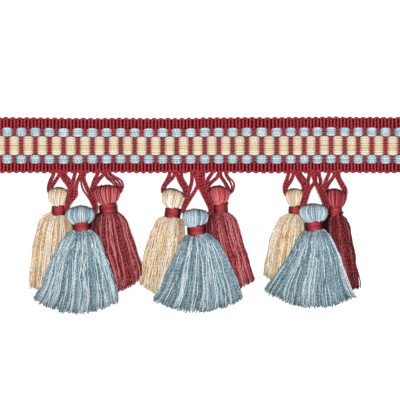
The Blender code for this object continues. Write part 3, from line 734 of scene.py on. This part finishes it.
headEdges = {
    # left x, left y, right x, right y of five lines from the binding up to the shoulders
    "cream_1": [
        (-81.3, -33.3, -74.7, -33.8), (-82.9, -30.9, -73.8, -31.3), (-83.8, -28.5, -73.1, -28.9),
        (-83.6, -26.1, -72.5, -26.5), (-82.7, -24.1, -72.6, -24.8),
    ],
    "red_1": [
        (-54.7, -33.1, -46.2, -32.1), (-56.4, -31.3, -45.1, -30.3), (-58.1, -28.9, -44.2, -28.2),
        (-59.1, -26.1, -43.7, -25.8), (-58.3, -23.5, -44.0, -23.7),
    ],
    "blue_1": [
        (-70.5, -43.7, -59.8, -43.0), (-72.2, -41.9, -58.7, -41.2), (-73.4, -39.9, -57.7, -39.5),
        (-73.8, -37.5, -57.5, -37.8), (-72.8, -35.4, -58.4, -35.3),
    ],
    "cream_2": [
        (-18.8, -34.3, -12.0, -35.4), (-20.6, -32.3, -11.0, -33.2), (-21.5, -29.6, -9.8, -30.6),
        (-21.4, -26.8, -9.0, -28.2), (-20.6, -24.6, -8.8, -26.5),
    ],
    "red_2": [
        (6.8, -32.5, 14.1, -32.0), (5.8, -30.9, 15.2, -30.3), (4.9, -28.5, 15.9, -28.2),
        (3.9, -25.8, 16.2, -25.8), (4.3, -23.7, 15.3, -24.0),
    ],
    "blue_2": [
        (-7.6, -44.9, 2.6, -44.0), (-9.2, -43.3, 3.7, -42.5), (-10.0, -40.9, 4.6, -40.2),
        (-10.1, -38.5, 4.7, -38.3), (-9.3, -36.4, 3.7, -36.4),
    ],
    "cream_3": [
        (48.8, -33.5, 54.4, -33.8), (47.7, -31.8, 55.3, -32.0), (46.6, -29.2, 56.1, -29.6),
        (46.3, -27.0, 56.5, -27.2), (47.1, -24.8, 56.2, -25.1),
    ],
    "red_3": [
        (70.4, -33.9, 77.3, -34.4), (69.4, -32.0, 78.5, -32.0), (68.7, -29.2, 79.2, -29.2),
        (68.5, -26.8, 79.4, -27.2), (68.9, -24.8, 78.5, -25.6),
    ],
    "blue_3": [
        (57.3, -42.5, 67.4, -42.0), (55.1, -40.9, 68.7, -40.2), (53.4, -38.2, 69.5, -37.8),
        (53.3, -35.8, 69.5, -35.8), (54.6, -33.4, 68.3, -33.6),
    ],
}
skirtEdges = {
    # left x, left y, right x, right y of eight lines across each skirt, from inside the binding to the hem
    "cream_1": [
        (-80.8, -36.6, -73.9, -37.1), (-83.1, -37.7, -73.0, -38.8), (-87.5, -40.4, -71.3, -42.4),
        (-89.8, -46.2, -70.2, -48.4), (-91.8, -55.0, -70.2, -57.8), (-92.8, -64.4, -71.3, -67.1),
        (-93.7, -72.6, -73.5, -75.9), (-93.3, -78.1, -75.2, -80.9),
    ],
    "red_1": [
        (-54.3, -36.6, -46.8, -36.3), (-56.2, -37.7, -44.9, -37.4), (-58.7, -40.4, -41.1, -40.7),
        (-60.0, -45.1, -39.1, -45.7), (-59.8, -53.4, -36.9, -53.4), (-58.1, -63.3, -33.9, -62.2),
        (-55.9, -72.6, -32.3, -68.8), (-53.2, -81.4, -32.6, -73.2),
    ],
    "blue_1": [
        (-69.9, -46.5, -61.0, -46.2), (-71.6, -47.7, -58.9, -47.6), (-73.8, -50.3, -56.0, -50.1),
        (-77.4, -55.6, -53.7, -55.6), (-81.2, -62.2, -51.5, -62.2), (-83.7, -69.3, -49.3, -69.3),
        (-86.7, -77.6, -46.8, -77.6), (-92.2, -84.7, -45.0, -85.8),
    ],
    "cream_2": [
        (-18.5, -38.8, -11.4, -40.7), (-20.4, -39.3, -9.8, -41.4), (-24.3, -41.8, -9.0, -45.3),
        (-26.5, -46.8, -8.6, -51.2), (-28.7, -53.4, -8.6, -58.9), (-31.2, -61.1, -9.7, -67.7),
        (-32.5, -69.3, -12.5, -75.9), (-33.2, -76.2, -15.8, -83.1),
    ],
    "red_2": [
        (7.5, -36.6, 13.8, -36.6), (5.4, -37.7, 15.6, -37.7), (3.3, -40.5, 18.6, -40.4),
        (2.2, -46.0, 21.1, -46.2), (3.4, -53.9, 23.3, -53.4), (6.2, -62.2, 25.5, -61.1),
        (8.4, -71.0, 27.4, -68.8), (11.2, -79.8, 29.3, -74.5),
    ],
    "blue_2": [
        (-6.7, -49.2, 2.4, -48.1), (-8.1, -50.2, 4.6, -49.2), (-10.0, -52.8, 8.2, -52.0),
        (-12.2, -57.5, 11.5, -56.9), (-14.9, -63.3, 14.5, -62.7), (-18.0, -69.3, 17.5, -69.0),
        (-21.5, -77.6, 21.1, -77.0), (-27.0, -84.7, 23.3, -84.4),
    ],
    "cream_3": [
        (49.1, -37.4, 54.9, -37.7), (47.2, -38.2, 55.5, -38.8), (43.4, -40.4, 56.3, -42.4),
        (40.8, -45.1, 56.8, -47.9), (38.4, -52.3, 56.6, -55.6), (37.0, -60.0, 55.2, -63.8),
        (35.8, -67.1, 53.5, -71.5), (35.0, -72.3, 51.3, -76.7),
    ],
    "red_3": [
        (70.6, -38.2, 76.9, -38.2), (69.2, -39.3, 78.3, -39.1), (67.3, -41.8, 80.2, -42.1),
        (66.5, -47.3, 81.8, -46.8), (66.5, -55.0, 83.0, -54.5), (67.3, -63.3, 84.6, -62.7),
        (68.4, -72.1, 86.4, -71.0), (69.5, -80.3, 87.3, -78.7),
    ],
    "blue_3": [
        (57.9, -46.2, 66.7, -46.2), (56.6, -47.5, 68.4, -47.5), (53.8, -50.1, 70.3, -50.1),
        (51.1, -55.6, 73.3, -55.3), (47.8, -61.3, 75.8, -61.3), (43.9, -67.1, 78.3, -67.7),
        (38.7, -74.0, 80.5, -75.4), (34.8, -79.8, 84.9, -83.3),
    ],
}
skirtBuild = {
    "sagShare": (0, 0, 0.04, 0.08, 0.15, 0.30, 0.60, 1.0),
    # thickness from just below the binding down to the hem
    "sideThick": (6.8, 7.0, 7.0, 6.8, 6.4, 5.6, 4.2),
    "blueThick": (8.3, 8.1, 7.8, 7.4, 6.8, 6.0, 4.6),
    "floorGap": 0.55,      # the lowest yarns' middles lie this far over the floor
    "overSide": 0.7,       # and this far over the side tassels
    "slope": 0.42,         # how steeply a front skirt may come down off the side ones
    "columns": 25,
    "rows": 29,
}
headBuild = {
    # half thickness from inside the binding up to the crown, as shares; the first two are shares of the binding's own
    "neckDepth": (0.80, 0.86),
    "depth": (0.86, 1.0, 0.97, 0.76, 0.0),
    "inset": 0.40,         # the yarns' middles lie this far inside the outline
    "neckInset": 0.75,     # and this far inside the binding's
    "spread": 0.84,        # share of a half turn over which the yarns lie
    "skein": 1.2,          # how thick the layer of yarns is
    "columns": 17,
    "rows": 49,
}


def bundleGuide(name, outer, inner, columns, rows):  # outer and inner are functions of u and t, in millimetres
    points, inside, faces = [], [], []
    for j in range(rows):
        for i in range(columns):
            u, t = 2 * i / (columns - 1) - 1, j / (rows - 1)
            points.append(Vector(outer(u, t)) * mm)
            inside.append(Vector(inner(u, t)) * mm)
    for j in range(rows - 1):
        for i in range(columns - 1):
            faces.append((j * columns + i, j * columns + i + 1, (j + 1) * columns + i + 1, (j + 1) * columns + i))
    guide = meshObject(name, points, faces)
    store = guide.data.attributes.new("inner", "FLOAT_VECTOR", "POINT")
    for item, value in zip(store.data, inside):
        item.vector = value
    flat = guide.data.uv_layers.new(name="yarnMap")
    for loop in guide.data.loops:
        j, i = divmod(loop.vertex_index, columns)
        flat.data[loop.index].uv = (i / (columns - 1), j / (rows - 1))
    return guide


def headGuide(name):
    z, half, crownY = tassels[name]["head"]
    neckX, neckY, neckWidth, _, neckZ = tassels[name]["neck"]
    lines = headEdges[name]
    neckHalf, inset = neckWidth / 2 - headBuild["neckInset"], headBuild["inset"]
    leftX, leftY, rightX, rightY = lines[-1]
    rise = crownY - (leftY + rightY) / 2 + 0.35
    insets = (inset + 0.5, inset, inset, inset, inset + 0.3)
    left = [(neckX - neckHalf, neckY, 0)] + [(line[0] + room, line[1], 0) for line, room in zip(lines, insets)]
    right = [(neckX + neckHalf, neckY, 0)] + [(line[2] - room, line[3], 0) for line, room in zip(lines, insets)]
    left.append((leftX + 1.1, leftY - 0.1, 0))
    right.append((rightX - 1.1, rightY - 0.1, 0))
    depth = [headBuild["neckDepth"][0] * neckHalf, headBuild["neckDepth"][1] * neckHalf]
    depth += [share * half - (0.3 if share else 0) for share in headBuild["depth"]]
    bow = [0, 0, 0, 0, 0.05 * rise, 0.30 * rise, rise - inset]
    axis = [neckZ, neckZ] + [z] * 5
    rows = list(zip(left, right, depth, bow, axis))
    path = rows + [(l, r, -deep, b, a) for l, r, deep, b, a in reversed(rows[:-1])]
    quarter = math.pi / 2 * headBuild["spread"]

    def place(u, t, sunk):
        a = smoothPath([row[0] for row in path], t)
        b = smoothPath([row[1] for row in path], t)
        deep, lift, middle = smoothPath([row[2:5] for row in path], t)
        arc = math.sin(u * quarter) / math.sin(quarter)
        spot = a.lerp(b, (1 + arc * (1 - sunk * 0.12)) / 2)
        crest = max(0.0, lift) / max(rise, 0.1)
        front = deep * (1 - sunk / half) * math.sqrt(1 - 0.90 * u * u)
        return spot.x, spot.y + lift * (1 - arc * arc) - sunk * crest, middle + front

    return bundleGuide(name + "HeadGuide", lambda u, t: place(u, t, 0.0),
                       lambda u, t: place(u, t, headBuild["skein"]), headBuild["columns"], headBuild["rows"])


def skirtPlan(name, u, t):
    edges = skirtEdges[name]
    left = smoothPath([(a, b, 0) for a, b, _, _ in edges], t)
    right = smoothPath([(c, d, 0) for _, _, c, d in edges], t)
    spot = left.lerp(right, (u + 1) / 2)
    sag = smoothPath([(s, 0, 0) for s in skirtBuild["sagShare"]], t).x * tassels[name]["hemSag"]
    return spot.x, spot.y - sag * (1 - u * u)


def skirtGuide(name, under):
    neckWidth, _, neckZ = tassels[name]["neck"][2:]
    neckHalf = neckWidth / 2 - headBuild["neckInset"]
    listed = skirtBuild["blueThick" if name.startswith("blue") else "sideThick"]
    thick = [(value, 0, 0) for value in (2 * neckHalf, *listed)]
    columns, rows = skirtBuild["columns"], skirtBuild["rows"]
    floorGap, overSide = skirtBuild["floorGap"], skirtBuild["overSide"]
    spots = [[skirtPlan(name, 2 * i / (columns - 1) - 1, j / (rows - 1)) for i in range(columns)]
             for j in range(rows)]
    rest = [[floorGap] * columns for _ in range(rows)]
    if under:
        struck = []
        for row in spots:
            for x, y in row:
                for tree in under:
                    hit = tree.ray_cast(Vector((x * mm, y * mm, 0.1)), Vector((0, 0, -1)))
                    if hit[0] is not None:
                        struck.append((x, y, hit[0].z / mm + overSide))
        for j in range(rows):
            for i in range(columns):
                x, y = spots[j][i]
                for sx, sy, sz in struck:
                    rest[j][i] = max(rest[j][i], sz - skirtBuild["slope"] * math.hypot(x - sx, y - sy))
        for _ in range(3):  # the step on to the side tassels is rounded off
            rest = [[sum(rest[min(max(j + dj, 0), rows - 1)][min(max(i + di, 0), columns - 1)]
                         for dj in (-1, 0, 1) for di in (-1, 0, 1)) / 9 for i in range(columns)]
                    for j in range(rows)]
    for j in range(rows):
        hold = 1 - ease(j / (rows - 1), 0.10, 0.42)
        for i in range(columns):
            rest[j][i] += (max(neckZ - neckHalf, floorGap) - rest[j][i]) * hold if hold > 0 else 0

    def place(u, t, share):
        i, j = (u + 1) / 2 * (columns - 1), t * (rows - 1)
        x, y = spots[round(j)][round(i)]
        depth = smoothPath(thick, t).x - 0.5
        bow = math.sqrt(1 - 0.80 * u * u)
        return x, y, rest[round(j)][round(i)] + depth * (0.5 + share * bow)

    return bundleGuide(name + "SkirtGuide", lambda u, t: place(u, t, 0.5), lambda u, t: place(u, t, -0.5),
                       columns, rows)


binding = {
    "turns": 7,
    "perTurn": 30,         # points in each turn
    "radius": 0.46,
    "inset": 0.36,         # the thread's middle lies this far inside the binding's outline
}


def bindingRoutes(name):  # the thread's turns about the neck, fuller in the middle, and its knotted end
    neckX, neckY, neckWidth, neckHeight, neckZ = tassels[name]["neck"]
    low, high = headEdges[name][0][:2], headEdges[name][0][2:]
    across = Vector((high[0] - low[0], high[1] - low[1])).normalized()
    down = Vector((across.y, -across.x))
    half = neckWidth / 2 - binding["inset"]
    last = binding["turns"] * binding["perTurn"]
    wobble = random.Random(neckX)
    route = []
    for step in range(last + 1):
        angle = math.tau * step / binding["perTurn"]
        share = 2 * step / last - 1
        swell = half * (1 - 0.07 * share ** 4) + 0.05 * math.sin(step * 1.7)
        arch = 0.22 * math.cos(angle) * (1 if share < 0 else -0.6) * abs(share)
        spot = Vector((neckX, neckY)) + across * swell * math.sin(angle)
        spot += down * (share * (neckHeight / 2 - 0.45) - arch)
        z = neckZ + 0.96 * swell * math.cos(angle)
        route.append((spot.x * mm, spot.y * mm, z * mm, wobble.uniform(0.96, 1.04)))
    routes = [route]
    if "knot" in tassels[name]:
        knotX, knotY = tassels[name]["knot"]
        side = (knotX - neckX) / half
        front = neckZ + half * math.sqrt(max(1 - side * side, 0.40)) + 0.2
        end = Vector((knotX, knotY, front + 0.7))
        start = Vector((knotX - 1.0, knotY - 1.4, front - 0.3))
        routes.append([(*(start.lerp(end, step / 4) * mm), 1.1 + 0.55 * math.sin(step * 0.8)) for step in range(5)])
    return routes


yarnCounts = {
    # yarns side by side, layers, points along, radius, drift of a yarn, gathering into locks, how much painted shade
    # the yarns get at the root and beside the tassel in front of them, how many cross the head, how much painted
    # shade the head gets beside, and how much their shades run in groups
    "cream": {"across": 46, "layers": 4, "steps": 18, "radius": 0.37, "wander": 3.6, "clump": 0.10,
              "rootDusk": 0.10, "sideDusk": 0.24, "duskSide": 1.0, "headYarns": 19, "headDusk": 0.0,
              "grouping": 0.18},
    "red": {"across": 48, "layers": 4, "steps": 18, "radius": 0.38, "wander": 3.6, "clump": 0.09,
            "rootDusk": 0.14, "sideDusk": 0.74, "duskSide": 0.0, "headYarns": 26, "headDusk": 0.36,
            "grouping": 0.08},
    "blue": {"across": 76, "layers": 5, "steps": 20, "radius": 0.38, "wander": 3.2, "clump": 0.07,
             "rootDusk": 0.20, "sideDusk": 0.0, "duskSide": 0.0, "headYarns": 38, "headDusk": 0.0,
             "grouping": 0.05},
}
paler = {
    # how far the shades of a skirt and of a head are moved towards the pale end
    "red_1": (0.06, 0.32), "red_2": (0.06, 0.28), "red_3": (-0.22, -0.14), "cream_1": (0.13, 0.08),
    "cream_2": (0.0, 0.34), "cream_3": (0.0, 0.10), "blue_1": (0.09, 0.14), "blue_2": (-0.08, 0.22),
    "blue_3": (-0.02, 0.26),
}
baseDusk = {"red_3": 0.32}  # skirts in painted shade all over
sideFronts = {}
for tasselIndex, name in enumerate(sorted(tassels, key=lambda n: n.startswith("blue"))):
    colour, group = name.split("_")
    counts = yarnCounts[colour]
    skirtPale, headPale = paler[name]
    # painted shade on the heads: in their folds, towards their crowns, on their yarns' flanks and, for the red ones,
    # on one side
    head = growPiece("head_" + name, headGuide(name), yarnBundle, {
        "Yarns Across": counts["headYarns"], "Layers": 2, "Steps": 22, "Sides": 6, "Radius": 0.37 * mm,
        "Root Share": 0.7, "Tip Share": 0.7, "Wander": 0.5 * mm, "Slot Spread": 0.7, "Ripple": 0.6 * mm,
        "Shade Grouping": 0.16, "Shade Turns": 0.56, "Shade Shift": headPale, "Fold Dusk": 0.86,
        "Side Dusk": counts["headDusk"], "Crease Dusk": 0.25, "Crown Fall": 0.20, "Seed": 100 + tasselIndex,
        "Material": materials[colour + "Head"],
    })
    guide = skirtGuide(name, sideFronts.get(group, []) if colour == "blue" else [])
    if colour != "blue":
        flatCopy = BVHTree.FromPolygons([v.co.copy() for v in guide.data.vertices],
                                        [tuple(p.vertices) for p in guide.data.polygons])
        sideFronts.setdefault(group, []).append(flatCopy)
    # painted shade on the skirts: on their yarns' flanks, at the root and beside the tassel in front, over all of
    # red_3; their tips go darker too
    skirt = growPiece("skirt_" + name, guide, yarnBundle, {
        "Yarns Across": counts["across"], "Layers": counts["layers"], "Steps": counts["steps"], "Sides": 5,
        "Radius": counts["radius"] * mm, "Root Share": 0.6, "Tip Share": 0.85, "Wander": counts["wander"] * mm,
        "Clump": counts["clump"], "Length Spread": 0.035, "Slot Spread": 1.0,
        "Ripple": tassels[name].get("ripple", 1.7) * mm, "Shade Grouping": counts["grouping"],
        "Shade Shift": skirtPale, "Tip Dusk": 0.75, "Root Dusk": counts["rootDusk"],
        "Side Dusk": counts["sideDusk"], "Dusk Side": counts["duskSide"], "Base Dusk": baseDusk.get(name, 0.0),
        "Crease Dusk": 0.42, "Seed": 262 + tasselIndex, "Material": materials[colour + "Yarn"],
    })
    # painted shade darkens the binding thread where it lies low round the sides of the neck, and on its flanks,
    # leaving its middle brightest
    thread = growPiece("binding_thread_" + name, routeObject(name + "Turns", bindingRoutes(name)), twistedCord, {
        "Radius": binding["radius"] * mm, "Step": 0.6 * mm, "Sides": 6, "Flank Dusk": 0.80, "Flank Level": 0.80,
        "Crease Dusk": 0.35, "Crease Width": 0.80, "Seed": 3, "Material": materials["satinBinding"],
    })
    finishPiece(head, colour + "_yarn", "tassel_" + name)
    finishPiece(skirt, colour + "_yarn", "tassel_" + name)
    finishPiece(thread, "binding_yarn", "binding_" + name)
print("tassels tied")


# hanger loops: each leg is two branches of doubled twisted cord, from under the heading into the head's fold

hanger = {
    "cordRadius": 0.54,
    "startZ": 0.60,
    "pairGap": 1.02,
    "steps": 48,
    "lean": 0.2,       # how far a pair rocks about itself along its way, in radians
    "lanes": (0.1, -0.7, 0.7, 0.2),  # how far each branch passes over or under the others half way
}
legs = {
    # each branch from under the heading to the head's shoulder: two to the left, then two to the right
    "cream_1": [
        [(-80.5, -13.5), (-80.7, -15.4), (-81.3, -17.1), (-82.0, -18.7), (-82.7, -20.4), (-83.1, -22.0),
         (-83.3, -23.7), (-83.2, -25.5)],
        [(-77.2, -13.5), (-77.6, -16.0), (-78.6, -17.9), (-79.6, -19.5), (-80.7, -21.2), (-81.6, -22.7),
         (-82.3, -24.2)],
        [(-77.0, -13.8), (-76.6, -16.2), (-75.7, -18.2), (-74.6, -19.8), (-73.2, -21.4), (-72.2, -23.2),
         (-71.9, -25.3), (-72.2, -27.4), (-73.3, -29.2)],
        [(-75.0, -13.5), (-74.7, -15.7), (-73.8, -17.4), (-72.4, -19.0), (-71.3, -20.9), (-70.4, -23.1),
         (-69.9, -25.3), (-70.1, -27.6), (-71.0, -29.5), (-72.3, -30.8)],
    ],
    "blue_1": [
        [(-68.7, -13.5), (-69.0, -15.6), (-69.5, -17.4), (-69.9, -19.4), (-70.6, -22.0), (-71.3, -25.0),
         (-71.7, -28.0), (-72.3, -30.3), (-73.0, -32.5), (-73.6, -34.6), (-73.3, -36.4)],
        [(-65.6, -13.5), (-65.9, -15.8), (-66.8, -18.2), (-67.7, -20.1), (-68.3, -22.2), (-68.4, -24.8),
         (-68.3, -27.2), (-69.4, -29.0), (-70.8, -30.6), (-72.0, -32.4), (-72.8, -34.3), (-72.7, -36.3)],
        [(-65.0, -13.5), (-65.3, -17.1), (-65.1, -19.8), (-64.5, -22.3), (-63.4, -24.8), (-61.8, -27.2),
         (-60.3, -29.7), (-59.1, -31.9), (-58.3, -34.1), (-58.1, -36.0), (-58.3, -37.7)],
        [(-62.9, -13.5), (-64.0, -16.5), (-64.2, -18.7), (-63.4, -20.9), (-62.5, -23.1), (-61.2, -25.3),
         (-59.9, -27.5), (-58.7, -29.7), (-57.6, -31.9), (-57.1, -34.1), (-57.2, -36.0), (-57.8, -37.7)],
    ],
    "red_1": [
        [(-56.0, -13.5), (-56.5, -15.4), (-57.2, -17.1), (-58.0, -18.7), (-58.7, -20.4), (-59.2, -22.3),
         (-59.6, -24.2), (-59.0, -26.1)],
        [(-52.8, -14.0), (-53.0, -15.5), (-53.9, -16.8), (-55.0, -18.0), (-56.0, -19.2), (-57.0, -20.6),
         (-57.9, -22.1), (-58.5, -23.9)],
        [(-53.4, -13.5), (-52.3, -16.1), (-50.6, -18.3), (-48.6, -19.7), (-46.9, -21.1), (-45.5, -22.6),
         (-44.7, -24.5)],
        [(-50.9, -13.5), (-49.7, -16.0), (-47.6, -17.7), (-45.4, -18.9), (-43.9, -20.4), (-43.1, -22.3),
         (-43.5, -24.2), (-44.2, -25.7)],
    ],
    "cream_2": [
        [(-17.0, -13.5), (-17.0, -15.4), (-17.5, -17.3), (-18.4, -19.2), (-19.4, -20.9), (-20.3, -22.6),
         (-20.9, -24.2), (-20.7, -25.9)],
        [(-13.7, -13.8), (-14.4, -16.2), (-15.3, -17.8), (-16.6, -19.2), (-18.0, -20.6), (-19.2, -22.0),
         (-19.9, -23.9)],
        [(-13.4, -13.8), (-12.8, -16.5), (-12.2, -18.4), (-11.4, -20.4), (-10.4, -22.0), (-9.3, -23.9),
         (-8.7, -25.9), (-9.2, -27.8)],
        [(-10.5, -13.5), (-10.6, -16.0), (-10.3, -18.2), (-9.4, -19.9), (-8.5, -21.5), (-7.7, -23.2),
         (-7.7, -25.3), (-8.7, -27.5)],
    ],
    "blue_2": [
        [(-4.8, -13.5), (-4.8, -16.5), (-4.8, -19.0), (-5.0, -20.9), (-5.5, -22.6), (-6.0, -24.4),
         (-6.8, -26.6), (-7.6, -29.0), (-8.5, -31.4), (-9.4, -33.8), (-9.8, -36.4)],
        [(-2.8, -13.8), (-2.7, -17.0), (-2.1, -19.3), (-1.7, -21.2), (-1.9, -22.9), (-2.9, -24.8),
         (-4.2, -26.9), (-5.5, -29.0), (-6.8, -31.0), (-8.0, -33.0), (-8.9, -34.8), (-9.2, -36.4)],
        [(-0.6, -13.8), (-0.6, -18.2), (-0.6, -21.0), (-0.4, -23.2), (0.4, -25.2), (1.5, -27.4),
         (2.6, -29.5), (3.6, -31.6), (4.6, -33.6), (5.1, -35.4), (5.0, -37.1)],
        [(1.5, -13.5), (1.5, -17.0), (1.5, -20.0), (1.7, -22.6), (2.4, -25.0), (3.5, -27.4), (4.7, -29.8),
         (5.7, -32.2), (6.2, -34.6), (5.8, -37.4)],
    ],
    "red_2": [
        [(7.0, -13.5), (6.1, -15.7), (5.0, -17.3), (4.0, -18.9), (3.4, -20.6), (3.4, -22.6), (4.0, -24.5)],
        [(10.3, -14.3), (9.3, -17.3), (7.9, -18.8), (6.5, -20.0), (5.3, -21.1), (4.4, -22.6), (4.5, -24.2)],
        [(10.5, -14.0), (11.0, -16.9), (12.0, -18.7), (13.0, -20.2), (13.9, -21.7), (14.8, -23.2),
         (15.2, -24.8)],
        [(13.6, -13.5), (14.1, -16.2), (15.2, -18.2), (16.4, -19.5), (17.4, -21.1), (17.7, -22.8),
         (17.4, -24.6), (16.3, -26.0)],
    ],
    "cream_3": [
        [(48.6, -13.5), (48.4, -15.4), (47.9, -17.3), (47.2, -19.2), (46.4, -21.0), (46.0, -22.8),
         (46.0, -24.8), (46.6, -27.0)],
        [(51.3, -13.8), (50.9, -16.5), (50.2, -18.4), (49.3, -20.0), (48.2, -21.5), (47.2, -23.0),
         (46.9, -24.8)],
        [(52.6, -13.8), (53.1, -16.8), (54.0, -18.6), (55.1, -20.2), (56.0, -21.8), (56.4, -23.5),
         (56.0, -25.9)],
        [(54.4, -13.5), (55.0, -16.2), (56.1, -17.7), (57.1, -19.1), (57.6, -20.9), (57.5, -23.1),
         (56.5, -26.1)],
    ],
    "blue_3": [
        [(59.4, -13.5), (59.7, -16.5), (59.3, -18.4), (58.8, -20.1), (58.9, -21.7), (58.2, -23.4),
         (57.3, -25.3), (56.7, -27.5), (56.0, -29.7), (55.4, -31.8), (55.2, -33.8)],
        [(61.3, -13.5), (61.6, -16.3), (62.2, -18.3), (62.6, -20.0), (61.6, -21.8), (60.4, -23.4),
         (59.3, -25.2), (58.5, -27.5), (57.8, -29.7), (57.1, -31.6), (56.6, -33.3)],
        [(63.0, -13.5), (63.1, -16.5), (63.0, -18.5), (63.0, -20.0), (63.4, -21.6), (64.0, -23.4),
         (64.9, -25.6), (65.9, -27.9), (66.8, -30.1), (67.5, -32.2), (67.5, -34.0)],
        [(65.0, -13.5), (65.1, -16.0), (65.5, -18.0), (65.9, -19.6), (65.7, -21.2), (66.0, -22.8),
         (66.9, -24.9), (67.8, -27.0), (68.7, -29.1), (69.4, -31.2), (69.6, -33.2), (69.2, -34.9)],
    ],
    "red_3": [
        [(70.9, -13.5), (70.5, -15.7), (69.8, -17.3), (69.0, -19.0), (68.3, -20.6), (68.0, -22.6),
         (68.4, -24.5), (69.3, -25.9)],
        [(73.9, -14.0), (73.2, -17.1), (72.1, -18.8), (71.0, -20.2), (70.0, -21.6), (69.2, -23.1),
         (69.3, -24.8)],
        [(74.2, -13.8), (74.7, -17.1), (75.7, -19.2), (76.6, -21.2), (77.6, -22.9), (78.4, -24.6),
         (78.4, -26.4)],
        [(75.7, -13.5), (75.9, -16.5), (76.5, -18.7), (77.6, -20.6), (78.7, -22.6), (79.5, -24.5),
         (79.5, -26.4), (79.2, -28.6), (78.6, -30.8), (77.5, -33.0)],
    ],
}
splayed = {  # branches whose two cords part: how far, and where on their way
    ("red_1", 2): (1.3, 0.5), ("red_1", 3): (1.5, 0.5), ("red_2", 3): (1.7, 0.5), ("blue_1", 2): (1.7, 0.33),
}


def hangerRoutes(name):
    z = tassels[name]["head"][0]
    axisX = (headEdges[name][2][0] + headEdges[name][2][2]) / 2
    routes = []
    for index, branch in enumerate(legs[name]):
        endX, endY = branch[-1]
        knots = [(a, b, 0) for a, b in (*branch, (endX + (axisX - endX) * 0.30, endY - 1.2))]
        wide, middle = splayed.get((name, index), (hanger["pairGap"], 0.5))
        start = random.Random(name + str(index)).uniform(0, 6)
        for pair in (-1, 1):
            route = []
            for step in range(hanger["steps"] + 1):
                share = step / hanger["steps"]
                spot = smoothPath(knots, share)
                ahead = smoothPath(knots, min(share + 0.02, 1.0)) - smoothPath(knots, max(share - 0.02, 0.0))
                aside = Vector((-ahead.y, ahead.x, 0)).normalized()
                lift = hanger["lanes"][index] * math.sin(math.pi * min(share * 1.3, 1.0)) ** 2
                spot.z = hanger["startZ"] + (z - hanger["startZ"]) * ease(share, 0.02, 0.72) + lift
                spot.z -= 1.2 * ease(share, 0.86, 1.0)
                rock = hanger["lean"] * math.sin(start + 5 * share)
                apart = hanger["pairGap"] + (wide - hanger["pairGap"]) * math.exp(-((share - middle) / 0.13) ** 2)
                apart *= 1 - 0.4 * ease(share, 0.8, 1.0)
                spot += aside * pair * apart / 2 * math.cos(rock)
                spot.z += pair * apart / 2 * math.sin(rock)
                route.append((spot.x * mm, spot.y * mm, max(spot.z, 0.55) * mm))
            routes.append(route)
    return routes


for name in tassels:
    # painted shade on the cords' flanks, darker at their start under the heading and at their end by the heads
    cords = growPiece("hanger_" + name, routeObject(name + "Legs", hangerRoutes(name)), twistedCord, {
        "Radius": hanger["cordRadius"] * mm, "Step": 0.5 * mm, "Sides": 8, "Phase Spread": 5 * mm,
        "Crease Dusk": 0.86, "Crease Width": 0.96, "Start Dusk": 0.16, "End Dusk": 0.40, "Seed": 3,
        "Material": materials["crimsonCord"],
    })
    finishPiece(cords, "crimson_cord", "loop_under_" + name, "loop_over_" + name)
print("hanger cords tied")
